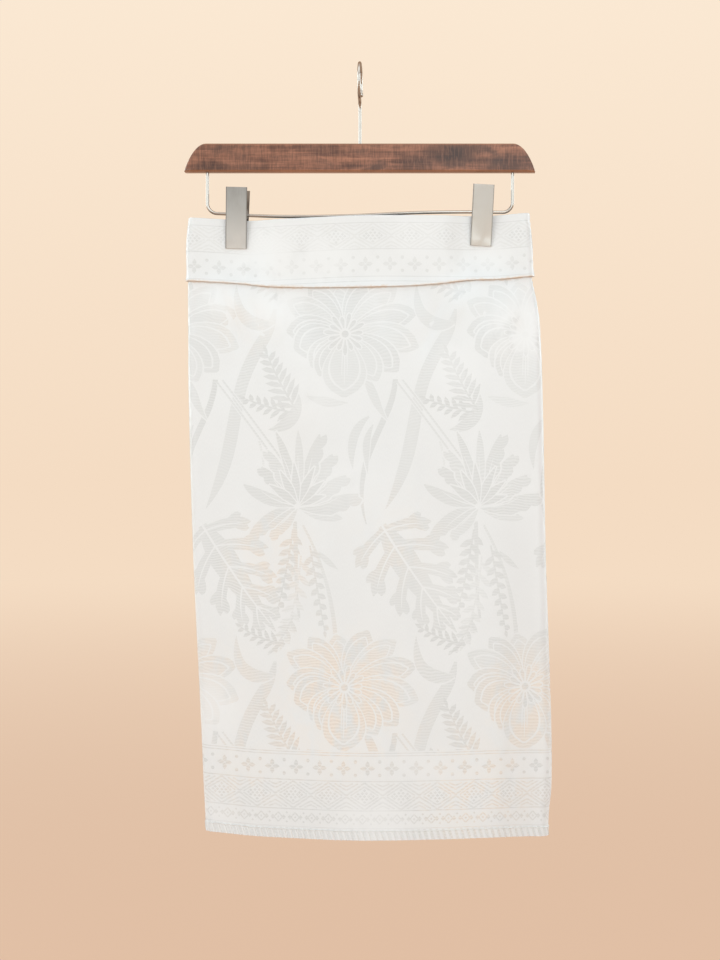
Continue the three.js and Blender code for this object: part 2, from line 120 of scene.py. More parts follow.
# Long faint creases where the garment was folded and handled
CREASES = {
    "front": (
        (-40, 5, 0.5, -330, -560, 90, 0.05), (62, 6, -0.6, -300, -520, 90, -0.06),
        (110, 5, 0.5, -360, -640, 110, 0.03), (-128, 6, -0.6, -420, -700, 120, 0.02),
        (18, 5, -0.4, -520, -760, 90, 0.04), (154, 6, -0.6, -520, -760, 110, -0.02),
    ),
    "back": (
        (-120, 6, 0.6, -330, -600, 90, 0.04), (-10, 6, -0.6, -320, -560, 110, 0.02),
        (76, 5, 0.5, -420, -720, 120, -0.04), (140, 6, -0.5, -360, -640, 90, 0.03),
    ),
}


def put(name, data):
    """Makes an object of the data and links it to the scene."""
    obj = bpy.data.objects.new(name, data)
    bpy.context.scene.collection.objects.link(obj)
    return obj


def scaled(share, values):
    return tuple(share * value for value in values)


def smooth(t):
    c = np.clip(t, 0, 1)
    return c * c * (3 - 2 * c)


def curve_through(places, values, at):
    """Reads a table at a place, on the smooth curve through its rows that the solids use. Places run up."""
    places, values = np.asarray(places, float), np.asarray(values, float)
    i = np.clip(np.searchsorted(places, at) - 1, 0, len(places) - 2)
    before, after = np.maximum(i - 1, 0), np.minimum(i + 2, len(places) - 1)
    span = places[i + 1] - places[i]
    t = np.clip((at - places[i]) / span, 0, 1)
    slope_from = span * (values[i + 1] - values[before]) / (places[i + 1] - places[before])
    slope_to = span * (values[after] - values[i]) / (places[after] - places[i])
    bend = t * t * (3 - 2 * t)
    rise = values[i + 1] - values[i]
    return values[i] + bend * rise + t * (1 - t) ** 2 * slope_from - t * t * (1 - t) * slope_to


def outline_at(z):
    down = -np.asarray(OUTLINE["z"], float)
    return [curve_through(down, OUTLINE[key], -z) for key in ("left", "right", "fold", "swell")]


def grip_at(x, z):
    along = 1 - smooth((GRIP["foot"] - z) / GRIP["fade"])
    across = [1 - smooth((abs(x - c) - GRIP["half_width"]) / GRIP["side_fade"]) for c in GRIP["centres"]]
    return along * np.maximum(*across)


def rise_of(folds, x, z):
    total = 0.0
    for centre, width, rise, top, bottom, fade, lean in folds:
        starts = smooth((top - z) / fade)
        ends = 1 - smooth((bottom - z) / fade)
        total = total + rise * starts * ends * np.exp(-(((x - centre - lean * (top - z)) / width) ** 2))
    return total


def half_depth(x, z, half, fine):
    """Distance of the body cloth's outer face from the garment's middle plane."""
    left, right, fold, swell = outline_at(z)
    middle, reach = (left + right) / 2, (right - left) / 2 - fold
    across = np.minimum(1, abs(x - middle) / reach)
    squareness = np.where(x < middle, SQUARENESS["left"], SQUARENESS["right"])
    free = fold + swell * (1 - across ** squareness) ** 2
    free = free + rise_of(FOLDS[half], x, z) * (1 - across ** 8) ** 2
    grip = grip_at(x, z)
    depth = free + (GRIP["half_depth"] - free) * grip
    if fine:
        small = 1.5 * rise_of(PUCKERS[half], x, z) + 1.3 * rise_of(CREASES[half], x, z)
        depth = depth + small * (1 - grip) * (1 - across ** 12)
    return depth


class Tube:
    """A stretch of the garment's tube, unrolled.

    A point of the cloth has a place along it, measured round the tube from the middle of the front, and a
    height. The tube's cut edges meet at the left side fold.
    """

    STEP = 2.5
    TURN_STEPS = 10
    RUN_STEPS = 170

    def __init__(self, top, bottom, out, fine):
        """out gives the face's distance off the body cloth's outer face, by x, height and half."""
        self.heights = np.arange(top, bottom - self.STEP, -self.STEP)
        z = self.heights[:, None]
        left, right, fold, _ = outline_at(z)
        turn = np.radians(np.linspace(0, 90, self.TURN_STEPS + 1))[None, :-1]
        run = np.linspace(0, 1, self.RUN_STEPS + 1)[None, :]
        halves = []
        for half, side in (("front", -1), ("back", 1)):
            run_x = left + fold + (right - fold - left - fold) * run
            run_y = side * (half_depth(run_x, z, half, fine) + out(run_x, z, half))
            radius = fold + out(left + fold, z, half)
            left_x, left_y = left + fold - radius * np.cos(turn), side * radius * np.sin(turn)
            radius = fold + out(right - fold, z, half)
            right_x = right - fold + radius * np.cos(turn[:, :0:-1])
            right_y = side * radius * np.sin(turn[:, :0:-1])
            halves.append((np.hstack([left_x, run_x, right_x]), np.hstack([left_y, run_y, right_y])))
        (front_x, front_y), (back_x, back_y) = halves
        x = np.hstack([front_x, right - fold + radius, back_x[:, ::-1]])
        y = np.hstack([front_y, 0 * radius, back_y[:, ::-1]])
        self.front_columns = front_x.shape[1]
        self.points = np.stack([x, y, np.broadcast_to(z, x.shape)], -1)
        steps = np.linalg.norm(np.diff(self.points, axis=1), axis=2)
        along = np.hstack([0 * z, np.cumsum(steps, axis=1)])
        middle = [np.interp(0, row_x[: self.front_columns], row[: self.front_columns])
                  for row_x, row in zip(x, along)]
        self.places = along - np.array(middle)[:, None]
        self.normals = self._normals()

    def _normals(self):
        ring = self.points[:, :-1]
        across = np.roll(ring, -1, axis=1) - np.roll(ring, 1, axis=1)
        down = np.gradient(ring, axis=0)
        normal = np.cross(down, across)
        normal /= np.linalg.norm(normal, axis=2, keepdims=True)
        return np.concatenate([normal, normal[:, :1]], axis=1)

    def rows_at(self, z):
        row = (self.heights[0] - z) / self.STEP
        first = np.clip(np.floor(row).astype(int), 0, len(self.heights) - 2)
        return first, row - first

    def places_at(self, z, columns):
        first, part = self.rows_at(z)
        return (1 - part) * self.places[first, columns] + part * self.places[first + 1, columns]

    def lay(self, flat):
        """Points of space, and outward normals, of flat points of the cloth."""
        place, z = flat[:, 0], flat[:, 1]
        first, part = self.rows_at(z)
        laid = np.zeros((len(flat), 6))
        for row in np.unique(first):
            here = np.flatnonzero(first == row)
            for source, share in ((row, 1 - part[here]), (row + 1, part[here])):
                values = np.hstack([self.points[source], self.normals[source]])
                for axis in range(6):
                    laid[here, axis] += share * np.interp(place[here], self.places[source], values[:, axis])
        normals = laid[:, 3:] / np.linalg.norm(laid[:, 3:], axis=1, keepdims=True)
        return laid[:, :3], normals

    def edge(self, name, raised=0.0):
        """The line of a cloth edge on the flat cloth, as places and heights."""
        tables = EDGES[name]
        row, _ = self.rows_at(tables["front"][1][0])
        x = self.points[row, :, 0]
        columns = np.arange(len(x))
        front, back = (curve_through(*tables[half], x) for half in ("front", "back"))
        z = np.where(columns < self.front_columns, front, back) + raised
        return self.places_at(z, columns), z


# Drawing on the flat cloth. A shape is a closed outline and what is woven inside it, and later shapes lie
# over earlier ones. A weave is 0 for ground or 1 for a figure, and the figure's tone from light to dark.
GROUND = (0.0, 0.0)
MIDDLE = (1.0, 0.5)
DARK = (1.0, 0.9)
# Width of the ground left round a figure
RIM = 0.9


class Drawing:
    def __init__(self):
        self.shapes = []

    def add(self, points, weave):
        points = np.asarray(points, float)
        following = np.roll(points, -1, axis=0)
        area = (points[:, 0] * following[:, 1] - following[:, 0] * points[:, 1]).sum()
        self.shapes.append((points if area > 0 else points[::-1], weave))

    def blade(self, start, heading, length, widths, weave, bends=(0,), steps=9, rim=RIM):
        """A petal, leaf, stem or ribbon: a band along a bending line, with widths at even steps."""
        if rim:
            wide = tuple(w + 2 * rim for w in widths)
            self.add(blade_outline(start, heading, length + rim, wide, bends, steps), GROUND)
        self.add(blade_outline(start, heading, length, widths, bends, steps), weave)

    def disc(self, centre, radius, weave, sides=10):
        angles = np.arange(sides) * 2 * np.pi / sides
        self.add(np.asarray(centre) + radius * np.stack([np.cos(angles), np.sin(angles)], 1), weave)

    def lozenge(self, centre, half_width, half_height, weave):
        corners = np.array([(-1, 0), (0, -1), (1, 0), (0, 1)])
        self.add(centre + corners * (half_width, half_height), weave)

    def fill(self, low, high, weave):
        self.add([(low[0], low[1]), (high[0], low[1]), (high[0], high[1]), (low[0], high[1])], weave)

    def on_line(self, line, height):
        """The same drawing, moved from a level base to one that lies a height off a line of the cloth."""
        shapes = [(split_long(points, LONGEST), weave) for points, weave in self.shapes]
        return [(points + [[0, height + np.interp(x, *line)] for x in points[:, 0]], weave)
                for points, weave in shapes]

    def peak(self, start, top, end, width, weave):
        self.stroke(start, top, width, weave)
        self.stroke(top, end, width, weave)

    def stroke(self, start, end, width, weave):
        start, end = np.asarray(start, float), np.asarray(end, float)
        along = (end - start) / np.linalg.norm(end - start)
        side = width / 2 * np.array([-along[1], along[0]])
        self.add([start + side, start - side, end - side, end + side], weave)


def line_of(start, heading, length, bends, steps):
    """Points and headings along a line that bends by the given degrees, one after the other."""
    t = np.linspace(0, 1, steps + 1)
    turned = np.concatenate([[0], np.cumsum(bends)])
    angle = np.radians(heading + np.interp(t, np.linspace(0, 1, len(turned)), turned))
    between = (angle[1:] + angle[:-1]) / 2
    steps_made = length / steps * np.stack([np.cos(between), np.sin(between)], 1)
    points = np.asarray(start, float) + np.vstack([[0, 0], np.cumsum(steps_made, axis=0)])
    return points, angle


def blade_outline(start, heading, length, widths, bends, steps):
    points, angle = line_of(start, heading, length, bends, steps)
    even = np.linspace(0, 1, len(widths))
    half = np.maximum(curve_through(even, widths, np.linspace(0, 1, steps + 1)), 0.02) / 2
    side = half[:, None] * np.stack([-np.sin(angle), np.cos(angle)], 1)
    return np.vstack([points - side, (points + side)[::-1]])


# Widths along a petal and a leaf's finger, as shares of the widest
PETAL = (0.18, 0.40, 0.64, 0.84, 0.97, 1.0, 0.92, 0.66, 0.10)
FINGER = (0.8, 0.85, 0.9, 0.98, 1.0, 0.95, 0.78, 0.06)


def away_from(x, z, angle, reach):
    return x + reach * math.cos(math.radians(angle)), z + reach * math.sin(math.radians(angle))


def open_flower(draw, x, z):
    """A wide flower of broad petals, some in front of others, each with a line inside its edge."""
    petals = (
        (96, 50, 25, 8, 0.25), (72, 58, 27, -10, 0.45), (121, 58, 24, 12, 0.50), (50, 66, 25, -16, 0.20),
        (143, 64, 26, 16, 0.30), (27, 72, 26, -22, 0.40), (166, 56, 28, 24, 0.55), (4, 72, 29, -30, 0.20),
        (-22, 62, 29, -28, 0.45), (190, 50, 36, 14, 0.65), (-47, 54, 27, -18, 0.30),
        (219, 44, 27, 12, 0.40), (-124, 46, 26, 4, 0.55), (-91, 60, 43, 0, 0.30),
    )
    for angle, length, width, bend, tone in petals:
        start, woven = away_from(x, z, angle, 3), (1.0, tone)
        layers = (1.0, 1.0, woven, 1.3), (0.76, 0.89, GROUND, 0), (0.67, 0.86, woven, 0)
        for share, reach, weave, rim in layers:
            widths = scaled(width * share, PETAL)
            draw.blade(start, angle, reach * length, widths, weave, bends=(bend,), steps=9, rim=rim)
    for lean in (-9, 0, 9):
        vein = (1.2, 1.3, 1.1, 0.5)
        draw.blade((x, z), -91 + lean, 50 - abs(lean), vein, GROUND, (-1.2 * lean,), steps=4, rim=0)
    draw.disc((x, z), 13, GROUND, 14)
    for i in range(15):
        angle, length = 360 * i / 15 + 6, 11.5 + 4 * (i % 2)
        stamen = (1.0, 1.6, 2.6, 3.8, 4.0, 1.6)
        draw.blade(away_from(x, z, angle, 5.5), angle, length, stamen, (1.0, 0.75), steps=5, rim=1.0)
    draw.disc((x, z), 6.0, GROUND, 10)
    draw.disc((x, z), 3.6, DARK, 8)


def lance_flower(draw, x, z):
    """A fan of curved petals seen from the side, the broad ones scalloped on one edge."""
    outer = (
        (238, 42, -18, 14, 1, 0.35), (204, 60, 22, 15, 1, 0.50), (176, 58, -34, 12, 0, 0.55),
        (-26, 48, 20, 12, 0, 0.30), (-12, 64, 44, 17, -1, 0.50), (18, 58, 26, 15, -1, 0.40),
        (138, 52, -10, 13, 1, 0.65), (46, 62, 18, 15, -1, 0.45), (116, 62, 4, 11, 1, 0.40),
        (68, 74, 8, 14, -1, 0.55), (84, 74, 10, 9, 0, 0.40), (98, 76, 16, 9, 0, 0.60),
    )
    for angle, length, bend, width, side, tone in outer:
        spine, angles = line_of((x, z), angle, length, (bend,), 10)
        headings = np.degrees(angles) + side * 36
        lobes = [(spine[step], headings[step]) for step in (4, 6, 8) if side]
        for spread, weave in ((2.4, GROUND), (0, (1.0, tone))):
            widths = tuple(width * part + spread for part in (0.25, 0.55, 0.85, 1.0, 0.9, 0.7, 0.1))
            draw.blade((x, z), angle, length + spread / 2, widths, weave, bends=(bend,), steps=9, rim=0)
            for root, lobe in lobes:
                widths = tuple(0.62 * width * part + spread for part in (0.7, 0.9, 1.0, 0.8, 0.06))
                reach = 0.24 * length + spread / 2
                draw.blade(root, lobe, reach, widths, weave, (-side * 30,), steps=5, rim=0)
        draw.blade((x, z), angle, 0.66 * length, (1.0, 1.2, 1.0, 0.4), GROUND, (bend,), steps=5, rim=0)
    inner = ((24, 30, -12), (46, 36, -10), (68, 42, -6), (92, 42, 4), (114, 38, 4), (138, 34, 12))
    for angle, length, bend in inner:
        draw.blade((x, z), angle, length, (2, 6, 8, 5, 0.4), (1.0, 0.75), bends=(bend,), steps=7, rim=1.2)
    draw.disc((x, z - 1), 3.0, GROUND, 8)


def lobed_leaf(draw, x, z, heading, length):
    """A deeply cut leaf: blunt finger-like lobes in pairs on a midrib, each forked and veined."""
    rib, angles = line_of((x, z), heading, length, (8,), 20)
    lobes = ((1, 47, 82, 11), (4, 54, 68, 12), (8, 50, 56, 11), (12, 40, 48, 10), (16, 26, 40, 9))
    body = (8, 20, 27, 27, 24, 19, 13, 8, 0.5)

    def finger(root, turn, reach, width, bend, steps):
        widths = scaled(width, FINGER)
        draw.add(blade_outline(root, turn, reach, widths, (bend,), steps), MIDDLE)

    draw.add(blade_outline((x, z), heading, length * 1.06, body, (8,), 14), MIDDLE)
    for step, reach, spread, width in lobes:
        for side in (-1, 1):
            turn = math.degrees(angles[step]) + side * spread
            finger(rib[step], turn, reach, width, -side * 24, 12)
            spine, forked = line_of(rib[step], turn, reach, (-side * 24,), 8)
            for place, way in ((4, side), (5, -side)):
                tip = math.degrees(forked[place]) + way * 40
                finger(spine[place], tip, 0.36 * reach, 0.72 * width, -way * 26, 7)
    for step, reach, spread, _ in lobes:
        for side in (-1, 1):
            turn = math.degrees(angles[step]) + side * spread
            bends = (-side * 24,)
            draw.blade(rib[step], turn, 0.82 * reach, (1.6, 1.5, 1.2, 0.5), GROUND, bends, steps=6, rim=0)
    draw.blade((x, z), heading, 0.98 * length, (2.2, 2.1, 1.8, 1.0), GROUND, bends=(8,), steps=12, rim=0)


def fern(draw, x, z, heading, length, tone, bend, pairs, reach, plump):
    """A sprig: a thin stem with narrow curved leaflets in pairs, shorter towards the tip."""
    weave = (1.0, tone)
    stem, angles = line_of((x, z), heading, length, (bend,), 2 * pairs)
    draw.blade((x, z), heading, length, (1.8, 1.8, 1.6, 0.8), weave, bends=(bend,), steps=8, rim=0)
    for i in range(1, 2 * pairs):
        side = 1 if i % 2 else -1
        size = reach * (1.05 - 0.6 * i / (2 * pairs))
        turn = math.degrees(angles[i]) + side * 40
        widths = (1.2, 3.0 * plump, 3.8 * plump, 2.8 * plump, 0.3)
        draw.blade(stem[i], turn, size, widths, weave, bends=(side * 22,), steps=3, rim=0)
    draw.blade(stem[-1], math.degrees(angles[-1]), 0.5 * reach, (1.5, 3.6, 2.4, 0.3), weave, steps=5, rim=0)


# One repeat of the woven flowers, 180 by 350 mm, in the order of drawing. Blades: x, z, heading, length,
# widths, tone, bends, steps and rim. Ferns: x, z, heading, length, tone, bend, pairs, reach and plumpness
RIBBONS = (
    (-84, -245, -98, 212, (3, 11, 12.5, 12.5, 12, 12.5, 13, 12, 8, 0.6), 0.40,
     (-25, 7, 13, 4, -4, -9, -8), 22, RIM),
    (-123, -220, -94, 66, (0.6, 6, 10, 13, 12, 4), 0.35, (18, 52, 48), 13, RIM),
    (36, -315, -94, 150, (5, 6, 6, 6, 5, 3.5, 1.0), 0.7, (-22, 4, 18, 22), 15, RIM),
    (-142, -318, -52, 120, (1.8, 2.0, 2.0, 1.8), 0.45, (-2,), 7, 0.8),
    (-137, -315.5, -52, 120, (1.8, 2.0, 2.0, 1.8), 0.45, (-2,), 7, 0.8),
    (-100, -376, -72, 34, (2, 2.4, 1.6), 0.15, (-20,), 5, 0.6),
    (-60, -330, -84, 52, (0.5, 9, 13, 10, 0.5), 0.5, (-46, -50), 11, RIM),
    (-52, -332, -22, 42, (1, 7, 10, 6, 0.5), 0.15, (26,), 8, RIM),
    (2, -306, -58, 56, (1, 7, 9, 6, 0.5), 0.35, (-12, 18), 9, RIM),
    (10, -352, 214, 58, (2, 8, 9, 6, 0.5), 0.40, (44, 24), 11, RIM),
    (14, -360, 238, 50, (1, 6, 7, 4, 0.4), 0.50, (32, 8), 9, RIM),
)
LEAFY_FERNS = ((-62, -346, 124, 64, 0.8, -12, 8, 22, 1.45), (-66, -348, 170, 50, 0.9, -12, 6, 15, 1.25))
STEMS = (
    (-64, -456, -88, 96, (4, 4, 3, 2.5), 0.6, (-2, 8), 8, 0.8),
    (-56, -460, -60, 172, (2.2, 3, 4, 4.4, 4), 0.35, (-20, -16), 13, 0.8),
    (-40, -486, -50, 26, (1, 5, 6, 4, 0.4), 0.4, (16,), 6, RIM),
)
HANGING_FERNS = (
    (-58, -490, -94, 88, 0.15, -16, 7, 19, 1.6), (-66, -464, -98, 78, 0.8, -6, 8, 15, 1.7),
    (-49, -480, -80, 86, 0.7, 0, 8, 13, 1.6), (-66, -550, -112, 40, 0.45, -20, 4, 13, 1.2),
)
LOW_FERNS = ((-74, -578, 172, 48, 0.9, -26, 6, 14, 1.1),)


def floral_repeat(draw, x, z):
    """One repeat, shifted by x and z."""
    def blades(rows):
        for dx, dz, heading, length, widths, tone, *rest in rows:
            draw.blade((x + dx, z + dz), heading, length, widths, (1.0, tone), *rest)

    def ferns(rows):
        for dx, dz, *rest in rows:
            fern(draw, x + dx, z + dz, *rest)

    blades(RIBBONS)
    ferns(LEAFY_FERNS)
    blades(STEMS)
    ferns(HANGING_FERNS)
    lance_flower(draw, x - 62, z - 440)
    lobed_leaf(draw, x - 157, z - 460, -59, 122)
    ferns(LOW_FERNS)
    open_flower(draw, x - 14, z - 270)


REPEAT = (180, 350)


def flowers(draw):
    for column in range(-2, 5):
        for row in range(-1, 2):
            floral_repeat(draw, column * REPEAT[0], -row * REPEAT[1])


# The woven border, drawn along the cloth and up from its edge
BAND_HEIGHT = 68.5
BORDER_REACH = (-200, 580)

# One lobe of a cross, pointing right
LOBE = np.array([(0.5, 0.0), (2.0, 1.8), (4.6, 2.1), (7.5, 0.0), (4.6, -2.1), (2.0, -1.8)])


def pitched(pitch, first):
    """Places along the whole border, a pitch apart, one of them at first."""
    for i in range(int((BORDER_REACH[1] - BORDER_REACH[0]) / pitch) + 1):
        yield first + (i + math.floor(BORDER_REACH[0] / pitch)) * pitch


def crosses(draw, height, pitch, first):
    for x in pitched(pitch, first):
        for side in (-1, 1):
            draw.add(LOBE * [side, 1] + [x, height], DARK)
            draw.add(LOBE[:, ::-1] * [1, side] + [x, height], DARK)
            draw.disc((x + pitch / 2, height + side * 6.6), 1.9, DARK, 6)


def rule(draw, height, width=1.1, weave=DARK):
    draw.stroke((BORDER_REACH[0] - 20, height), (BORDER_REACH[1] + 20, height), width, weave)


# Dots in a large diamond, off its middle
LATTICE = (
    (-8.6, 0), (8.6, 0), (-4.3, 0), (4.3, 0), (0, 0), (-2.1, 2.9), (2.1, 2.9), (-2.1, -2.9), (2.1, -2.9),
    (-6.4, 2.2), (6.4, 2.2), (-6.4, -2.2), (6.4, -2.2), (0, 5.8), (0, -5.8),
)


def diamonds(draw, height, pitch, first, reach, line=(1.0, 0.55)):
    """Large diamonds between crossing zigzags, each holding a lattice of dots."""
    for x in pitched(pitch, first):
        for side in (-1, 1):
            for inset, width in ((0, 1.7), (3.8, 1.5)):
                rise = side * (reach - inset)
                low, near, far = height + side * 0.6, x + 1.1 * inset, x + pitch - 1.1 * inset
                draw.peak((near, low), (x + pitch / 2, height + rise), (far, low), width, line)
            for inset in (4.6, 8.4):
                top, foot = height + side * (inset + 1.2), height + side * (reach - 0.8)
                run = (reach - inset) * pitch / 2 / reach
                draw.peak((x - run, foot), (x, top), (x + run, foot), 1.5, line)
        for dx, dz in LATTICE:
            draw.lozenge((x + pitch / 2 + dx, height + dz), 1.7, 1.45, DARK)


def small_row(draw, height, pitch, first):
    """Small stars and bow-ties in turn."""
    for x in pitched(pitch, first):
        for side in (-1, 1):
            draw.peak((x - 4.2, height), (x, height + side * 4.6), (x + 4.2, height), 1.2, DARK)
            draw.lozenge((x + pitch / 2 + side * 3.1, height), 2.2, 2.6, DARK)
            draw.lozenge((x + pitch / 2, height + side * 4.4), 1.3, 1.3, DARK)
        draw.lozenge((x, height), 1.3, 1.3, DARK)


def edge_stripes(draw, low, high, pitch, width, lean, weave):
    for x in np.arange(BORDER_REACH[0], BORDER_REACH[1] + 0.5, pitch):
        draw.add([(x, high), (x + lean, low), (x + lean + width, low), (x + width, high)], weave)


def border(draw):
    """The border, by height above the cloth's edge."""
    draw.fill((BORDER_REACH[0] - 20, -4), (BORDER_REACH[1] + 20, 87.5), GROUND)
    rule(draw, 85.6, 0.9)
    rule(draw, 83.0, 0.9)
    crosses(draw, 70.5, 24.0, 9)
    rule(draw, 57.8)
    diamonds(draw, 43.2, 36.0, -12, 13.2)
    rule(draw, 29.0)
    small_row(draw, 20.6, 17.0, 4)
    rule(draw, 11.6, 0.8, MIDDLE)
    edge_stripes(draw, -0.5, 10.6, 6.0, 2.6, 3.6, MIDDLE)


def band_border(draw):
    """The same border on the waistband, by height above its lower edge, turned upside down."""
    rule(draw, 3.4, 0.9)
    rule(draw, 8.2, 0.9)
    crosses(draw, 20.6, 24.5, 6)
    rule(draw, 35.6)
    diamonds(draw, 48.6, 36.6, -5, 12.4, (1.0, 0.2))
    rule(draw, 61.8, 0.9)


# Turning the flat drawing into cloth. SPACING is the distance between loose points, edges of a shape longer
# than LONGEST are divided, and points nearer than EPSILON become one
SPACING = 7.2
LONGEST = 8.5
EPSILON = 0.01
LEAST_AREA = 1e-7
OUTER_GRID = {"inset": (0, 0, 2, 1), "row_step": 0.87 * SPACING, "spacing": SPACING, "stagger": SPACING / 2,
              "fold_step": 2.4, "clear": 1.5}
UNDER_GRID = {"inset": (4, 3, 5, 4), "row_step": 11.0, "spacing": 12.5, "stagger": 6, "fold_step": 3.4,
              "clear": 2}


def split_long(points, longest):
    """The closed outline with its long edges divided."""
    following = np.roll(points, -1, axis=0)
    result = []
    for a, b in zip(points, following):
        parts = max(1, math.ceil(np.linalg.norm(b - a) / longest))
        result.extend(a + (b - a) * i / parts for i in range(parts))
    return np.array(result)


def tidy_line(place, z, spacing):
    """Points of a line that are at least the spacing apart, with both of its ends."""
    kept = [0]
    for i in range(1, len(place) - 1):
        if place[i] - place[kept[-1]] >= spacing and place[-1] - place[i] >= spacing:
            kept.append(i)
    kept.append(len(place) - 1)
    return place[kept], z[kept]


def outline_of(tube, lower, upper):
    """The cut cloth's outline on the flat, against the clock, between two edge lines."""
    low, high = tidy_line(*lower, 2.2), tidy_line(*upper, 2.2)
    rows = tube.heights
    left_rows = rows[(rows > low[1][0] + 0.5) & (rows < high[1][0] - 0.5)]
    right_rows = rows[(rows > low[1][-1] + 0.5) & (rows < high[1][-1] - 0.5)]
    left, right = tube.places_at(left_rows, 0), tube.places_at(right_rows, -1)
    return np.vstack([
        np.column_stack(low),
        np.column_stack([right, right_rows])[::-1],
        np.column_stack(high)[::-1],
        np.column_stack([left, left_rows]),
    ])


def grid_points(outline, inset, row_step, spacing, stagger, fold_step, clear):
    """Loose points all over the cloth, closer together at its right side fold.

    The inset is off the outline's left, right, lower and upper edge.
    """
    (left, low), (right, high) = outline.min(axis=0), outline.max(axis=0)
    rows = []
    for i, z in enumerate(np.arange(low + inset[2], high - inset[3], row_step)):
        places = np.arange(left + inset[0] + (i % 2) * stagger, right - inset[1], spacing)
        _, side, fold, _ = outline_at(z)
        near_fold = np.arange(side - fold - 4, side + 2.2 * fold + 8, fold_step)
        kept = places[(places < near_fold[0] - clear) | (places > near_fold[-1] + clear)]
        rows.append(np.column_stack([np.append(kept, near_fold), np.full(len(kept) + len(near_fold), z)]))
    return np.vstack(rows)


def triangulate(points, outlines):
    """Triangles of the flat cloth inside the first outline, and for each the outlines that hold it."""
    made = delaunay_2d_cdt([Vector(p) for p in points], [], outlines, 1, EPSILON, True)
    faces, holders = zip(*(pair for pair in zip(made[2], made[5]) if 0 in pair[1]))
    used, packed = np.unique(np.array(faces), return_inverse=True)
    verts = np.array([tuple(v) for v in made[0]])[used]
    triangles = packed.reshape(-1, 3)
    a, b, c = (verts[triangles[:, i]] for i in range(3))
    area = (b[:, 0] - a[:, 0]) * (c[:, 1] - a[:, 1]) - (b[:, 1] - a[:, 1]) * (c[:, 0] - a[:, 0])
    triangles[area < 0] = triangles[area < 0][:, ::-1]
    kept = np.flatnonzero(abs(area) > LEAST_AREA)
    return verts, triangles[kept], [holders[i] for i in kept]


def weave_cloth(outline, shapes):
    """Triangles of the flat cloth, each with the weave of the last shape that holds it."""
    low, high = outline.min(axis=0), outline.max(axis=0)
    points = [outline, grid_points(outline, **OUTER_GRID)]
    count = sum(map(len, points))
    outlines, weaves, boxes = [list(range(len(outline)))], [GROUND], [(low, high)]
    for shape, weave in shapes:
        if (shape.max(axis=0) < low).any() or (shape.min(axis=0) > high).any():
            continue
        shape = split_long(shape, LONGEST)
        points.append(shape)
        outlines.append(list(range(count, count + len(shape))))
        count += len(shape)
        weaves.append(weave)
        boxes.append((shape.min(axis=0) - 0.1, shape.max(axis=0) + 0.1))
    verts, triangles, holders = triangulate(np.vstack(points), outlines)
    lows, highs = np.array(boxes).transpose(1, 0, 2)
    woven = []
    for middle, held in zip(verts[triangles].mean(axis=1), holders):
        inside = [i for i in held if (lows[i] < middle).all() and (middle < highs[i]).all()]
        woven.append(weaves[max(inside, default=0)])
    return verts, triangles, np.array(woven)


def border_loop(triangles):
    """Edges that belong to one triangle only, with that triangle on their left."""
    edges = np.vstack([triangles[:, [0, 1]], triangles[:, [1, 2]], triangles[:, [2, 0]]])
    keys = np.sort(edges, axis=1)
    _, first, counts = np.unique(keys, axis=0, return_index=True, return_counts=True)
    return edges[first[counts == 1]]


class Builder:
    """Gathers triangles and quads with their normals, weave and place on the flat cloth."""

    def __init__(self):
        self.parts, self.count = [], 0

    def add(self, verts, flats, faces, normals, weaves, uvs):
        """Normals and uvs are given by vertex, weaves by face."""
        self.parts.append((verts, flats, faces + self.count, normals[faces], weaves, uvs[faces]))
        self.count += len(verts)

    def finish(self, name, material, lip):
        groups, facing, woven, laid_out = list(zip(*self.parts))[2:]
        verts, flats = (np.vstack(columns) for columns in list(zip(*self.parts))[:2])
        keys = np.round(np.column_stack([verts, flats[:, 0]]), 4)
        _, first, merged = np.unique(keys, axis=0, return_index=True, return_inverse=True)
        verts, flats, merged = verts[first] * MM, flats[first], merged.ravel()
        mesh = bpy.data.meshes.new(name)
        faces = [face for group in groups for face in merged[group].tolist()]
        mesh.from_pydata(verts.tolist(), [], faces)
        sizes = np.array([len(face) for face in faces])
        colours = np.zeros((sizes.sum(), 4), np.float32)
        colours[:, :2] = np.repeat(np.vstack(woven), sizes, axis=0)
        colours[:, 3] = 1
        attribute = mesh.attributes.new("weave", "FLOAT_COLOR", "CORNER")
        attribute.data.foreach_set("color", colours.ravel())
        places = np.column_stack([flats, flats[:, 1] - np.interp(flats[:, 0], *lip)]).astype(np.float32)
        attribute = mesh.attributes.new("cloth_mm", "FLOAT_VECTOR", "POINT")
        attribute.data.foreach_set("vector", places.ravel())
        uvs = np.vstack([group.reshape(-1, 2) for group in laid_out]).astype(np.float32)
        layer = mesh.uv_layers.new(name="OFBake")
        layer.data.foreach_set("uv", uvs.ravel())
        normals = np.vstack([group.reshape(-1, 3) for group in facing])
        mesh.polygons.foreach_set("use_smooth", [True] * len(faces))
        mesh.normals_split_custom_set(normals.tolist())
        mesh.materials.append(material)
        return put(name, mesh)


# The bake map, from its foot up: the under face, three rims, the part turned in, and the outer face
UV_MARGIN = 0.003
UNDER_MAP = (UV_MARGIN, 0.17)
RIM_MAP = 0.18
RIM_MAP_STEP = 0.01
TURNED_MAP = 0.215
OUTER_MAP = (0.26, 0.996)


def flat_uv(flats, low, high, bottom, top):
    u, v = ((flats - low) / (high - low)).T
    v = bottom + (top - bottom) * np.clip(v, 0, 1)
    return np.column_stack([UV_MARGIN + (1 - 2 * UV_MARGIN) * u, v])


def loop_of(edges):
    following = dict(edges.tolist())
    start = edges[0][0]
    loop = [start]
    while following[loop[-1]] != start:
        loop.append(following[loop[-1]])
    return np.array(loop)


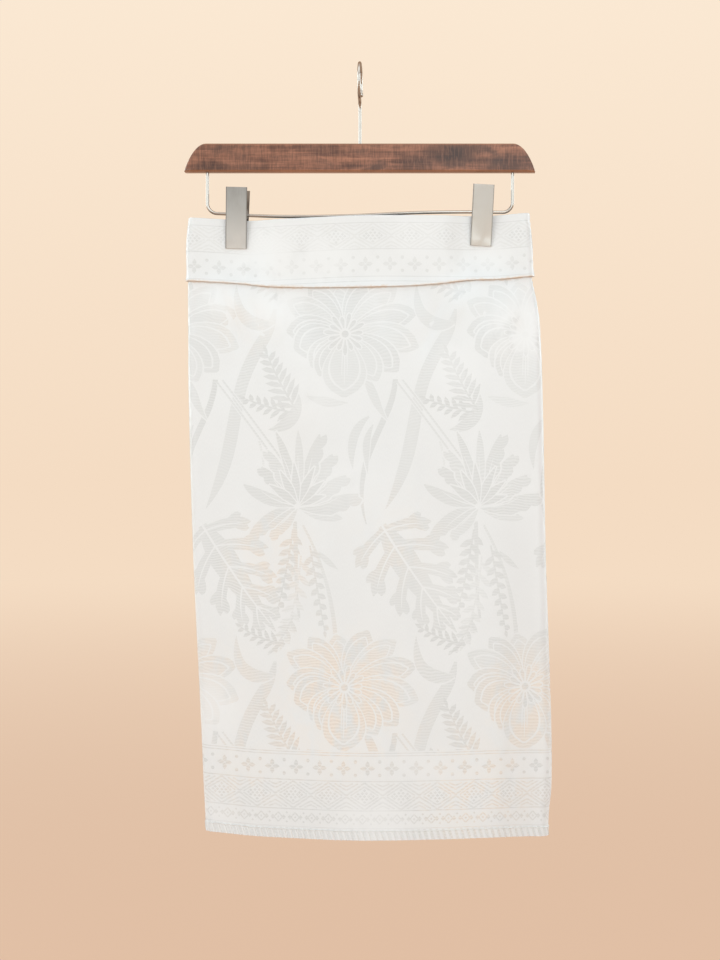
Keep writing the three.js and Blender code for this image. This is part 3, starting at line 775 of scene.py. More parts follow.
def under_face(rim):
    """Plain triangles for the cloth's inner face, on the same rim as its outer one."""
    points = np.vstack([rim, grid_points(rim, **UNDER_GRID)])
    return triangulate(points, [list(range(len(rim)))])[:2]


def plain(count):
    return np.zeros((count, 2))


def add_rim(builder, flats, tops, normals, level):
    """Closes the shell along a line of its edge: quads from the outer face to the inner one."""
    under = tops - CLOTH_THICKNESS * normals
    count = len(tops)
    index = np.arange(count - 1)
    quads = np.column_stack([index + 1, index, index + count, index + 1 + count])
    along = np.gradient(tops, axis=0)
    outward = np.cross(along, normals)
    outward /= np.linalg.norm(outward, axis=1, keepdims=True)
    u = np.linspace(UV_MARGIN, 1 - UV_MARGIN, count)
    uvs = np.column_stack([np.tile(u, 2), np.repeat([level + 0.004, level], count)])
    builder.add(np.vstack([tops, under]), np.tile(flats, (2, 1)), quads, np.tile(outward, (2, 1)),
                plain(count - 1), uvs)


def add_turned_in(builder, tube, flats, tops, normals, depth, step_over, level):
    """Carries the cloth on over its top edge and down inside, as a strip with two faces."""
    radius = step_over / 2
    up = np.array([0, 0, 1.0])
    columns, facing = [tops], [normals]
    for angle in np.radians((30, 60, 90, 120, 150, 180)):
        way = math.cos(angle) * normals + math.sin(angle) * up
        columns.append(tops - radius * normals + radius * way)
        facing.append(way)
    for down in np.array([0.1, 0.25, 0.5, 0.75, 1.0]) * depth:
        base, base_normals = tube.lay(flats - [0, down])
        columns.append(base - step_over * base_normals)
        facing.append(-base_normals)
    points, ways = np.array(columns), np.array(facing)
    rows, count = points.shape[:2]
    row, column = np.meshgrid(np.arange(rows - 1), np.arange(count - 1), indexing="ij")
    first = (row * count + column).ravel()
    quads = np.column_stack([first, first + count, first + 1 + count, first + 1])
    spread = np.tile(flats, (rows, 1))
    u = np.tile(np.linspace(UV_MARGIN, 1 - UV_MARGIN, count), rows)
    v = level + 0.02 * np.repeat(np.arange(rows), count) / rows
    uvs = np.column_stack([u, v])
    flat_ways, outer, weaves = ways.reshape(-1, 3), points.reshape(-1, 3), plain(len(quads))
    builder.add(outer, spread, quads, flat_ways, weaves, uvs)
    builder.add(outer - CLOTH_THICKNESS * flat_ways, spread, quads[:, ::-1], -flat_ways, weaves, uvs)
    add_rim(builder, flats, points[-1], ways[-1], level + 0.022)
    for side in (0, -1):
        order = slice(None, None, -1) if side else slice(None)
        places = np.tile(flats[side], (rows, 1))
        add_rim(builder, places, points[order, side], ways[order, side], level + 0.03)


def make_cloth(name, tube, lower, upper, lip, shapes, material, turned_in=None):
    """A thin shell of woven cloth laid on the tube, between two edge lines. The lip is the waistband's."""
    outline = outline_of(tube, lower, upper)
    flat, triangles, weave = weave_cloth(outline, shapes)
    low, high = outline.min(axis=0), outline.max(axis=0)
    laid, normals = tube.lay(flat)
    builder = Builder()
    builder.add(laid, flat, triangles, normals, weave, flat_uv(flat, low, high, *OUTER_MAP))

    loop = loop_of(border_loop(triangles))
    rim = flat[loop]
    under, under_triangles = under_face(rim)
    under_laid, under_normals = tube.lay(under)
    under_laid = under_laid - CLOTH_THICKNESS * under_normals
    under_uv = flat_uv(under, low, high, *UNDER_MAP)
    weaves = plain(len(under_triangles))
    builder.add(under_laid, under, under_triangles[:, ::-1], -under_normals, weaves, under_uv)

    corners = [int(np.argmin(np.linalg.norm(rim - corner, axis=1))) for corner in (
        outline[0], (upper[0][-1], upper[1][-1]), (upper[0][0], upper[1][0]))]
    loop = np.roll(loop, -corners[0])
    count = len(loop)
    stops = [0, (corners[1] - corners[0]) % count, (corners[2] - corners[0]) % count, count]
    loop = np.append(loop, loop[0])
    for part in range(3):
        side = loop[stops[part]: stops[part + 1] + 1]
        line = flat[side], laid[side], normals[side]
        if part == 1 and turned_in:
            add_turned_in(builder, tube, *line, *turned_in, TURNED_MAP)
        else:
            add_rim(builder, *line, RIM_MAP + RIM_MAP_STEP * part)
    return builder.finish(name, material, lip)


# Materials
class Signal:
    """What a node passes on. Arithmetic with it adds math nodes."""

    def __init__(self, nodes, socket):
        self.nodes, self.socket = nodes, socket

    def __add__(self, other):
        return self.nodes.math("ADD", self, other)

    def __mul__(self, other):
        return self.nodes.math("MULTIPLY", self, other)

    def __rsub__(self, other):
        return self.nodes.math("SUBTRACT", other, self)

    def __truediv__(self, other):
        return self.nodes.math("DIVIDE", self, other)

    def __abs__(self):
        return self.nodes.math("ABSOLUTE", self)


class Nodes:
    """A node tree being put together."""

    def __init__(self, tree):
        self.tree = tree

    def node(self, kind, output, inputs=(), **settings):
        """Adds a node and gives its output by name or number, or all of them as a dictionary for None."""
        made = self.tree.nodes.new("ShaderNode" + kind)
        for key, value in settings.items():
            setattr(made, key, value)
        for place, value in dict(inputs).items():
            self.feed(made.inputs[place], value)
        if output is None:
            return {socket.name: Signal(self, socket) for socket in made.outputs}
        return Signal(self, made.outputs[output])

    def feed(self, socket, value):
        if isinstance(value, Signal):
            self.tree.links.new(value.socket, socket)
        elif socket.type == "RGBA":
            socket.default_value = (*value, 1)
        else:
            socket.default_value = value

    def math(self, operation, *values, clamp=False):
        return self.node("Math", 0, dict(enumerate(values)), operation=operation, use_clamp=clamp)

    def mix(self, factor, a, b):
        return self.node("Mix", 2, {0: factor, 6: a, 7: b}, data_type="RGBA")

    def steps(self, value, low, high, to_low=0.0, to_high=1.0, kind="SMOOTHSTEP"):
        inputs = {"Value": value, "From Min": low, "From Max": high, "To Min": to_low, "To Max": to_high}
        return self.node("MapRange", "Result", inputs, interpolation_type=kind)

    def stretch(self, vector, scale):
        return self.node("VectorMath", 0, {0: vector, 1: scale}, operation="MULTIPLY")

    def noise(self, vector, scale, detail=2.0, roughness=0.5, distortion=0.0):
        """The scale is one number, or one for each axis."""
        if isinstance(scale, tuple):
            vector, scale = self.stretch(vector, scale), 1.0
        inputs = {"Vector": vector, "Scale": scale, "Detail": detail, "Roughness": roughness,
                  "Distortion": distortion}
        return self.node("TexNoise", "Fac", inputs)

    def attribute(self, name, output):
        return self.node("Attribute", output, attribute_name=name)

    def place(self):
        return self.node("TexCoord", "Object")

    def split(self, vector):
        return self.node("SeparateXYZ", None, {0: vector}).values()

    def bump(self, height, distance, strength, **under):
        inputs = {"Height": height, "Distance": distance, "Strength": strength, **under}
        return self.node("Bump", "Normal", inputs)


class Shader(Nodes):
    """A material being put together."""

    def __init__(self, name, **values):
        self.material = bpy.data.materials.new(name)
        self.material.use_nodes = True
        super().__init__(self.material.node_tree)
        self.set(**values)

    def set(self, **values):
        for socket, value in values.items():
            self.feed(self.tree.nodes["Principled BSDF"].inputs[socket.replace("_", " ")], value)
        return self.material


# Patches on the flat cloth, as centre, radius and strength: those where a painted warm reflection tints the
# satin, and those where a painted gleam of light brightens it and its figures fade
WARM_REFLECTION_PATCHES = (
    (-20, -640, 110, 1.0), (168, -640, 80, 0.9), (-150, -620, 80, 0.6), (-86, -492, 62, 0.7),
    (118, -716, 90, 0.8), (-120, -700, 70, 0.5), (30, -470, 70, 0.35), (-110, -250, 55, 0.35),
    (320, -560, 110, 0.8), (450, -330, 80, 0.5), (380, -700, 90, 0.7), (240, -420, 70, 0.4),
)
PAINTED_GLEAM_PATCHES = (
    (163, -262, 58, 1.0), (-84, -240, 46, 0.9), (-140, -232, 34, 0.8), (-58, -285, 34, 0.5),
    (24, -236, 32, 0.5), (96, -300, 44, 0.5), (-52, -330, 46, 0.45), (-152, -640, 52, 0.85),
    (14, -756, 60, 0.7), (60, -700, 46, 0.4), (-150, -750, 40, 0.5), (-94, -194, 62, 1.0),
    (-36, -196, 48, 0.85), (134, -190, 34, 0.8), (56, -176, 44, 0.5), (18, -202, 40, 0.45),
    (96, -206, 44, 0.6), (96, -512, 60, 0.4), (-10, -420, 46, 0.35), (320, -300, 70, 0.8),
    (470, -260, 60, 0.7), (260, -640, 60, 0.6), (430, -560, 80, 0.5), (360, -190, 60, 0.7),
    (500, -190, 50, 0.6),
)


def patches(shader, flat, places, inner):
    total = None
    for x, z, radius, strength in places:
        away = shader.node("VectorMath", "Value", {0: flat, 1: (x, z, 0)}, operation="DISTANCE")
        patch = shader.steps(away, radius, radius * inner, 0.0, strength)
        total = shader.math("MAXIMUM", total, patch) if total else patch
    return total


def brocade(name, ground, light, dark, ribs):
    """Satin with a woven pattern, whose figures show fine wavy ribs. Gleams, warm reflections and a shadow
    are painted on.
    """
    shader = Shader(name, Sheen_Weight=0.25, Sheen_Roughness=0.4, Specular_IOR_Level=0.5)
    mix, noise, steps = shader.mix, shader.noise, shader.steps
    place = shader.attribute("cloth_mm", "Vector")
    flat = shader.stretch(place, (1, 1, 0))
    woven, tone, _ = shader.node("SeparateColor", None, {0: shader.attribute("weave", "Color")}).values()
    _, height, lip = shader.split(place)

    wander = noise(flat, (0.02, 0.012, 1), 1.0)
    ripple = noise(flat, (0.09, 0.05, 1), 1.0)
    course = height + (wander * 22.0 + ripple * 4.5)
    rib = shader.math("SINE", course * (2 * math.pi / ribs)) * 0.5 + 0.5
    broken = steps(noise(flat, (0.35, 1.1, 1)), 0.35, 0.62)
    line = rib * (broken * 0.5 + 0.5)
    threads = noise(flat, (1.6, 0.35, 1), 3.0, 0.6)
    cloudy = noise(flat, (0.014, 0.011, 1), 3.0, 0.55)
    ragged = noise(flat, (0.05, 0.035, 1), 3.0, 0.6)
    # Painted gleams of light: the ground is painted a little brighter there and the figures fade
    painted_gleam = patches(shader, flat, PAINTED_GLEAM_PATCHES, 0.2) * steps(ragged, 0.26, 0.52)
    figure = woven * (painted_gleam * -0.9 + 1.0)
    # Painted warm reflections, tinting the ground and the figures
    painted_warm_reflection = patches(shader, flat, WARM_REFLECTION_PATCHES, 0.25) * steps(ragged, 0.34, 0.6)

    ground_colour = mix(steps(threads * 0.6 + cloudy * 0.4, 0.3, 0.7), ground, scaled(0.95, ground))
    ground_colour = mix(painted_warm_reflection * 0.5, ground_colour, (0.86, 0.825, 0.785))
    ground_colour = mix(painted_gleam, ground_colour, scaled(1.03, ground))
    # Where the ribs can't be told apart, their middle tone stands for them
    plain = steps(height, *RIBS_FADE, 0.45, 0.65) * steps(cloudy, 0.38, 0.56, 0.25, 1.0)
    plain = plain * (1.0 - painted_warm_reflection)
    even = plain * 0.5 + line * (1.0 - plain)
    figure_colour = mix(even * (tone * 0.7 + 0.3), mix(tone, light, dark), scaled(0.91, dark))
    reflected_figure_colour = mix(line, (0.865, 0.785, 0.705), (0.79, 0.69, 0.60))
    figure_colour = mix(painted_warm_reflection * 0.85, figure_colour, reflected_figure_colour)
    colour = mix(figure, ground_colour, figure_colour)
    # Painted shadow: a warm brown line of ragged width along the waistband's lower edge, on it and on the
    # cloth under it
    reach = steps(noise(flat, (0.16, 0.4, 1), 3.0, 0.7), 0.3, 0.7, 0.5, 2.9)
    painted_lip_shadow = shader.math("SUBTRACT", 1.0, abs(lip) / reach, clamp=True)
    colour = mix(painted_lip_shadow * steps(ragged, 0.3, 0.62, 0.25, 0.8), colour, (0.73, 0.55, 0.41))
    ribbed = shader.bump(even * figure, 0.00018, 0.8)
    return shader.set(Base_Color=colour, Roughness=figure * -0.08 + (threads * 0.06 + 0.40),
                      Normal=shader.bump(threads, 0.00004, 0.6, Normal=ribbed))


# Heights on the cloth between which its ribs fade into a middle tone
RIBS_FADE = (-540.0, -320.0)
# Steel plates: height that they lean about, heights of the lower and upper painted reflection shade, and
# where the painted dark reflection along the edges begins and is full
PLATE = {"pivot": -150, "low": -178, "high": -118, "edge": (9.2, 10.3)}
# Distance from the bar's middle height where the painted highlights along its edges begin and are full
BAR_EDGE_HIGHLIGHT = (12.3, 13.1)
# Darker clouds of the wood bar, as x, height times WOOD_SQUEEZE, radius and strength
BAR_MIDDLE = -93.5
WOOD_SQUEEZE = 2.2
DARK_PATCHES = (
    (92, -196, 52, 0.95), (58, -222, 40, 0.7), (-146, -236, 36, 0.95), (-112, -232, 30, 0.6),
    (148, -220, 44, 0.9), (-40, -184, 34, 0.45), (14, -232, 34, 0.4),
)


def varnished_wood():
    """Red-brown hardwood with darker clouds, cross figure and a clear varnish, and painted highlights along
    its top and bottom edges.
    """
    shader = Shader("varnished_wood", Specular_IOR_Level=0.35, Coat_Weight=0.12, Coat_Roughness=0.25)
    mix, noise, steps = shader.mix, shader.noise, shader.steps
    place = shader.place()
    across, _, up = shader.split(place)
    grain = noise(place, (9, 60, 260), 6.0, 0.62, 0.4)
    fine = noise(place, (60, 300, 1500), 3.0, 0.6)
    clouds = noise(place, (-15, 20, 40), 4.0, 0.62, 0.3)
    figure = noise(place, (860, 60, 80), 3.0, 0.6, 0.6)
    spread = shader.node("CombineXYZ", 0, {0: across, 1: up})
    spread = shader.stretch(spread, (1 / MM, WOOD_SQUEEZE / MM, 0))
    shaded = patches(shader, spread, DARK_PATCHES, 0.1) * steps(clouds, 0.34, 0.54, 0.5, 1.0)
    dark = shader.math("MAXIMUM", steps(clouds, 0.45, 0.66) * 0.8, shaded)
    blend = steps(grain * 0.42 + clouds * 0.58, 0.38, 0.60)
    colour = mix(blend, (0.10, 0.040, 0.024), (0.46, 0.20, 0.118))
    # Painted highlights: a lighter orange-brown line along the bar's top and bottom edges
    off_middle = abs(up + -BAR_MIDDLE * MM)
    edge = steps(fine * 0.0006 + off_middle, *scaled(MM, BAR_EDGE_HIGHLIGHT))
    for share, seen in (
        (dark, (0.030, 0.019, 0.017)),
        (steps(figure, 0.50, 0.62) * 0.22, (0.46, 0.21, 0.13)),
        (steps(figure, 0.50, 0.38) * 0.36, (0.06, 0.03, 0.022)),
        (steps(fine, 0.56, 0.70) * 0.6, (0.06, 0.025, 0.017)),
        (edge * 0.6, (0.36, 0.155, 0.075)),
    ):
        colour = mix(share, colour, seen)
    return shader.set(Base_Color=colour, Roughness=grain * 0.14 + 0.29,
                      Normal=shader.bump(fine * -0.5 + grain, 0.00018, 0.35))


def plain_material(name, tint, shades, rough, roughness, relief, bump, **values):
    """Two shades, roughness and relief, each from a noise of its own scale and detail."""
    shader = Shader(name, **values)
    tint, rough, relief = (shader.noise(shader.place(), *noise) for noise in (tint, rough, relief))
    return shader.set(Base_Color=shader.mix(tint, *shades), Roughness=rough * roughness[0] + roughness[1],
                      Normal=shader.bump(relief, *bump))


def bright_wire():
    """Plated steel wire, smudged and finely scratched."""
    smudge = (90, 3.0)
    return plain_material("bright_wire", smudge, ((0.48, 0.45, 0.415), (0.35, 0.32, 0.29)), smudge,
                          (0.10, 0.07), (2400, 2.0), (0.00002, 0.4), Metallic=1.0)


def spring_wire():
    """Dull spring steel."""
    smudge = (260, 3.0)
    return plain_material("spring_wire", smudge, ((0.42, 0.40, 0.38), (0.24, 0.23, 0.22)), smudge,
                          (0.2, 0.22), smudge, (0.00003, 0.4), Metallic=1.0)


def thread():
    """White spun polyester, plied."""
    ply = ((900, 900, 2600), 3.0, 0.6)
    return plain_material("hem_thread", ply, ((0.88, 0.88, 0.865), (0.76, 0.755, 0.735)), (700, 3.0),
                          (0.2, 0.45), ply, (0.00006, 0.6), Sheen_Weight=0.3, Sheen_Roughness=0.5)


def brushed_plate(name, centre, lean, top, bottom):
    """Nickelled sheet steel with an upright brushed grain, painted as a reflection between two shades from
    top to bottom, with painted dark reflections along its long edges and painted shade on its inner faces.
    """
    shader = Shader(name, Metallic=1.0, Anisotropic=0.5)
    mix, steps = shader.mix, shader.steps
    place = shader.place()
    x, y, z = shader.split(place)
    brushing = shader.noise(place, (5200, 900, 34), 3.0, 0.6)
    smudge = shader.noise(place, (60, 60, 34), 3.0)
    tone = brushing * 0.5 + smudge * 0.5
    # Painted dark reflections along the plate's long edges, by distance from its leaning middle line
    slope = math.tan(math.radians(lean))
    off_middle = abs(z * -slope + x + (PLATE["pivot"] * slope - centre) * MM)
    # Painted shade on the faces turned in towards the other plate
    _, facing, _ = shader.split(shader.node("NewGeometry", "Normal"))
    inner_face_shade = facing * (shader.math("SIGN", y) * -1.0)
    # Painted reflection: each plate shades from its top colour down to its bottom one
    colour = mix(steps(smudge * 0.016 + z, PLATE["low"] * MM, PLATE["high"] * MM), bottom, top)
    for share, seen in (
        (steps(tone, 0.34, 0.70) * 0.5, scaled(0.80, bottom)),
        (steps(off_middle, *scaled(MM, PLATE["edge"])) * 0.7, (0.13, 0.125, 0.12)),
        (steps(inner_face_shade, 0.3, 0.6), (0.15, 0.115, 0.09)),
    ):
        colour = mix(share, colour, seen)
    return shader.set(Base_Color=colour, Roughness=tone * 0.22 + 0.24,
                      Normal=shader.bump(brushing, 0.00004, 0.5))


# The hanger's pieces
def new_piece(name, verts, faces, material):
    mesh = bpy.data.meshes.new(name)
    mesh.from_pydata((np.asarray(verts) * MM).tolist(), [], [list(map(int, face)) for face in faces])
    mesh.polygons.foreach_set("use_smooth", [True] * len(mesh.polygons))
    mesh.materials.append(material)
    return put(name, mesh)


def ring_faces(rings, count):
    """Quads between one ring of points and the next, and a face at each end."""
    faces = []
    for first in range(0, (rings - 1) * count, count):
        for i in range(count):
            j = (i + 1) % count
            faces.append((first + i, first + j, first + count + j, first + count + i))
    last = (rings - 1) * count
    faces.append(tuple(range(count))[::-1])
    faces.append(tuple(range(last, last + count)))
    return faces


def round_bar(points, radii, sides):
    """Verts and faces of a round wire along points, closed at both ends."""
    points = np.asarray(points, float)
    radii = np.broadcast_to(radii, len(points))
    tangents = np.gradient(points, axis=0)
    tangents /= np.linalg.norm(tangents, axis=1, keepdims=True)
    side = np.cross(tangents[0], (0.3, 0.5, 0.8))
    side /= np.linalg.norm(side)
    angles = np.arange(sides) * 2 * np.pi / sides
    verts = []
    for point, radius, tangent in zip(points, radii, tangents):
        side = side - tangent * side.dot(tangent)
        side /= np.linalg.norm(side)
        other = np.cross(tangent, side)
        verts.append(point + radius * (np.outer(np.cos(angles), side) + np.outer(np.sin(angles), other)))
    return np.vstack(verts), ring_faces(len(points), sides)


def arc(centre, radius, start, end, steps, first, second):
    angles = np.radians(np.linspace(start, end, steps + 1))
    return centre + radius * (np.outer(np.cos(angles), first) + np.outer(np.sin(angles), second))


def upright(x, start, end, steps):
    return np.column_stack([np.full(steps, x), np.zeros(steps), np.linspace(start, end, steps)])


X, Y, Z = np.eye(3)
WIRE_RADIUS = 1.6
BALL_RADIUS = 2.4
HOOK_BOTTOM = -91.2
# The hook's arcs, each turned in degrees about its centre
NECK = {"centre": (0, -10, -44.83), "radius": 10, "turn": 69.9}
LOOP = {"centre": (0, 0, -17.5), "radius": 19.1, "from": 249.9, "to": -28}
FRAME_TOP = -95.8
FRAME_X = 152.5
CORNER = 10
# The frame's lower wire, as heights along x
RUN = ((-142.5, -134, -112.5, -70, -10, 36, 70, 110, 142.5),
       (-148.6, -149.0, -150.5, -151.6, -150.8, -148.6, -147.4, -147.0, -147.4))


def hook_line():
    """Points and radii of the hook: stem, neck, loop and the ball at its tip."""
    stem = upright(0, HOOK_BOTTOM, NECK["centre"][2] - 1, 12)
    neck = arc(NECK["centre"], NECK["radius"], 0, NECK["turn"], 12, Y, Z)
    loop = arc(LOOP["centre"], LOOP["radius"], LOOP["from"], LOOP["to"], 72, Y, Z)
    tip, way = loop[-1], loop[-1] - loop[-2]
    way /= np.linalg.norm(way)
    reach = np.array([-1.75, -1.4, -0.9, -0.3, 0.3, 0.9, 1.4, 1.8, 2.1, 2.3, 2.385])
    ball = tip + np.outer(reach, way)
    line = np.vstack([stem, neck, loop[1:-1], ball])
    radii = np.full(len(line), WIRE_RADIUS)
    radii[-len(reach):] = np.maximum(np.sqrt(BALL_RADIUS ** 2 - reach ** 2), 0.15)
    return line, radii


def run_height(x):
    return curve_through(*RUN, x)


def frame_line():
    left, right = (RUN[0][0], 0, RUN[1][0] + CORNER), (RUN[0][-1], 0, RUN[1][-1] + CORNER)
    x = np.linspace(RUN[0][0], RUN[0][-1], 90)[1:-1]
    run = np.column_stack([x, np.zeros(len(x)), run_height(x)])
    return np.vstack([
        upright(-FRAME_X, FRAME_TOP, left[2] + 1, 8), arc(left, CORNER, 180, 270, 12, X, Z), run,
        arc(right, CORNER, -90, 0, 12, X, Z), upright(FRAME_X, right[2] + 1, FRAME_TOP, 8),
    ])


BAR = {"length": 350, "height": 28, "depth": 13, "top": -79.5, "round": 1.6}
# Control points of the bar's end: in from its tip, and up from its foot
BAR_END_CURVE = ((0, 0), (2.5, 9), (10.5, 28), (22, 28))


def bar_outline(inset):
    """The bar's front outline, moved in by the inset, against the clock as the viewer sees it."""
    half, bottom = BAR["length"] / 2, BAR["top"] - BAR["height"]
    t = np.linspace(0, 1, 29)[:, None]
    a, b, c, d = (np.array(point, float) for point in BAR_END_CURVE)
    curve = a * (1 - t) ** 3 + 3 * b * t * (1 - t) ** 2 + 3 * c * t ** 2 * (1 - t) + d * t ** 3
    right = np.column_stack([half - curve[:, 0], bottom + curve[:, 1]])
    along = np.gradient(right, axis=0)
    along /= np.linalg.norm(along, axis=1, keepdims=True)
    right = right + inset * np.column_stack([-along[:, 1], along[:, 0]])
    above = np.flatnonzero(right[:, 1] > bottom + inset)
    right[: above[0]] = [np.interp(bottom + inset, right[:, 1], right[:, 0]), bottom + inset]
    x = np.linspace(right[-1, 0], -right[-1, 0], 70)[1:-1]
    top = np.column_stack([x, np.full(len(x), BAR["top"] - inset)])
    left = right[::-1] * [-1, 1]
    base_x = np.linspace(-right[0, 0], right[0, 0], 60)[1:-1]
    base = np.column_stack([base_x, np.full(len(base_x), bottom + inset)])
    return np.vstack([right, top, left, base])


def rounded_bar():
    """The wood bar: its outline carried from front to back, with rounded edges."""
    deep = BAR["depth"] / 2
    rings = [(BAR["round"] + 1.2, -deep)]
    for angle in np.radians(np.linspace(0, 90, 6)):
        rings.append((BAR["round"] * (1 - math.sin(angle)), -deep + BAR["round"] * (1 - math.cos(angle))))
    rings += [(inset, -y) for inset, y in rings[::-1]]
    verts = []
    for inset, y in rings:
        outline = bar_outline(inset)
        verts.append(np.column_stack([outline[:, 0], np.full(len(outline), y), outline[:, 1]]))
    return np.vstack(verts), [face[::-1] for face in ring_faces(len(rings), len(outline))]


# Name, place along x, lean in degrees, and the painted reflection shades at the top and the bottom of the
# plates
CLIPS = (
    ("clip_left", -122.6, 1.5, (0.31, 0.33, 0.34), (0.60, 0.63, 0.64)),
    ("clip_right", 122.5, 3.0, (0.54, 0.56, 0.56), (0.64, 0.66, 0.65)),
)
WORN_EDGE = 0.4
SPRING = {"wire": 0.5, "radius": 2.85, "length": 12.0, "turns": 8.5}
# The spring's leg, as distance from the middle plane and height above the wire
LEG = ((9.3, 19.0), (8.75, 15.5), (8.0, 11.5), (5.2, 5.0), (3.1, 0.8))


def spring_line(x, lean):
    """The clip's spring: a coil round the wire, and a leg that rises along the inside of each plate."""
    angles = np.radians(np.linspace(0, 360 * SPRING["turns"], 172))
    along = np.linspace(-SPRING["length"] / 2, SPRING["length"] / 2, len(angles))
    coil = np.column_stack([along, SPRING["radius"] * np.cos(angles), -SPRING["radius"] * np.sin(angles)])
    leg = np.array(LEG)
    back = np.column_stack([np.full(len(leg), along[0]), leg])
    front = np.column_stack([np.full(len(leg), along[-1]), -leg[:, 0], leg[:, 1]])[::-1]
    line = np.vstack([back, coil, front])
    turn = math.radians(lean)
    turned_x = line[:, 0] * math.cos(turn) + line[:, 2] * math.sin(turn)
    turned_z = line[:, 2] * math.cos(turn) - line[:, 0] * math.sin(turn)
    return np.column_stack([x + turned_x, line[:, 1], run_height(x) + turned_z])


def settle(piece, slot, *nodes):
    """Puts a piece on the object's one body and hides the solids that it stands for. The slot, its finish,
    is not used.
    """
    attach(piece, "root")
    if nodes:
        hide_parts(*nodes)


def make_hanger():
    wood, wire, spring = varnished_wood(), bright_wire(), spring_wire()
    bar = new_piece("bar", *rounded_bar(), wood)
    settle(bar, "bar_wood", "hanger_bar")
    hook = new_piece("hook", *round_bar(*hook_line(), 28), wire)
    settle(hook, "wire_steel", "hanger_hook")
    line = frame_line()
    frame_wire = new_piece("frame_wire", *round_bar(line, WIRE_RADIUS, 24), wire)
    settle(frame_wire, "wire_steel", "hanger_wire")
    for name, x, lean, top, bottom in CLIPS:
        plate = brushed_plate(f"{name}_plate", x, lean, top, bottom)
        coil = new_piece(f"{name}_coil", *round_bar(spring_line(x, lean), SPRING["wire"], 10), spring)
        settle(coil, "spring_steel", f"{name}_spring")
        for side in ("front", "back"):
            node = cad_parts[f"{name}_{side}"]
            for place in node.material_slots:
                place.material = plate
            bevel = node.modifiers.new("worn_edges", "BEVEL")
            bevel.width = WORN_EDGE * MM
            bevel.segments = 3
            bevel.limit_method = "ANGLE"
            bevel.harden_normals = True


# The cloth's pieces
def body_out(x, z, half):
    return 0.0


def band_out(x, z, half):
    lip = curve_through(*EDGES["band_lip"][half], x)
    return BAND_EASE + BAND_WALL + LIP_FLARE * smooth((lip + LIP_HEIGHT - z) / LIP_HEIGHT)


# The hem's stitches
STITCH = {"pitch": 6.0, "thread": 0.38, "height": 9.0, "lean": 3.4}


def overlock(tube, hem):
    """Verts and faces of the stitches that bind the hem: slanted loops over the edge, and a needle line."""
    verts, faces, count = [], [], 0
    first, last = hem[0][0] + 2, hem[0][-1] - STITCH["lean"] - 2
    number = int((last - first) / STITCH["pitch"])
    raised, sunk = 0.7 * STITCH["thread"], -CLOTH_THICKNESS - 0.7 * STITCH["thread"]
    # Share of the slant, share of the height above the edge, and distance off the face
    loop = ((0, 1.0, -0.2), (0.06, 0.95, raised), (0.35, 0.62, raised), (0.65, 0.30, raised),
            (0.93, 0.02, raised * 0.6), (1.0, -0.05, -CLOTH_THICKNESS / 2), (1.04, 0.03, sunk),
            (1.2, 0.25, sunk), (1.24, 0.28, -0.4))
    needle = ((0.1, 0.98, -0.2), (0.2, 1.0, raised * 0.8), (1.5, 1.0, raised * 0.8), (1.6, 0.98, -0.2))
    for i in range(number):
        start = first + i * (last - first) / number
        for path in (loop, needle):
            shares, heights, offs = np.array(path).T
            places = start + shares * STITCH["lean"]
            base = np.interp(places, *hem)
            flat = np.column_stack([places, base + np.maximum(heights, 0.01) * STITCH["height"]])
            laid, normals = tube.lay(flat)
            laid += offs[:, None] * normals
            laid[:, 2] += np.minimum(heights - 0.01, 0) * STITCH["height"]
            made, sides = round_bar(laid, STITCH["thread"], 6)
            verts.append(made)
            faces += [tuple(index + count for index in face) for face in sides]
            count += len(made)
    return np.vstack(verts), faces


# The ground, the light figures and the dark ones
BODY_SHADES = (0.842, 0.851, 0.853), (0.822, 0.832, 0.831), (0.738, 0.747, 0.744)
BAND_SHADES = (0.828, 0.836, 0.836), (0.80, 0.806, 0.80), (0.752, 0.759, 0.753)
# Depth turned in at the waistband's top, and how far inside the outer face that part lies
TURNED_IN = (20.0, 1.4)
BORDER_TOP = -690


def make_garment():
    body_satin = brocade("body_satin", *BODY_SHADES, 2.9)
    band_satin = brocade("band_satin", *BAND_SHADES, 2.6)

    tube = Tube(-195, -775, body_out, True)
    hem, under_lip = tube.edge("hem"), tube.edge("band_lip", TUCK)
    field, foot = Drawing(), Drawing()
    flowers(field)
    border(foot)
    shapes = [(points, weave) for points, weave in field.shapes if points[:, 1].max() > BORDER_TOP]
    shapes += foot.on_line(hem, 0)
    skirt = make_cloth("skirt", tube, hem, under_lip, tube.edge("band_lip"), shapes, body_satin)
    settle(skirt, "body_satin", "panel_front", "panel_back")
    stitches = new_piece("hem_stitches", *overlock(tube, hem), thread())
    settle(stitches, "body_satin")

    tube = Tube(-145, -228, band_out, False)
    lip, top = tube.edge("band_lip"), tube.edge("band_top")
    strip = Drawing()
    band_border(strip)
    shapes = strip.on_line(top, -BAND_HEIGHT)
    waistband = make_cloth("waistband", tube, lip, top, lip, shapes, band_satin, TURNED_IN)
    settle(waistband, "band_satin", "band_front", "band_back")


# Floor, light and camera, which aren't part of the object
FLOOR_DROP = 1.35
FLOOR_SIZE = 200.0
HORIZON = (0.905, 0.715, 0.545)
VIEW_MIDDLE = (0, 0, -0.42)
COOL, WHITE = (0.825, 0.955, 1.0), (1, 1, 1)
# Place, width and height, watts and colour of each light
LIGHTS = {
    "key": ((0.85, -2.4, 0.70), (1.9, 1.9), 25, COOL),
    "above": ((0.0, -0.7, 1.5), (2.4, 1.2), 6, COOL),
    "fill": ((-1.9, -2.0, 0.15), (1.8, 2.0), 21, COOL),
    "low_fill": ((0.4, -2.2, -1.2), (1.6, 0.5), 3, WHITE),
    "behind_left": ((-2.4, 1.1, 0.4), (1.4, 1.4), 34, COOL),
    "behind_right": ((2.4, 1.1, 0.3), (1.4, 1.4), 32, COOL),
}


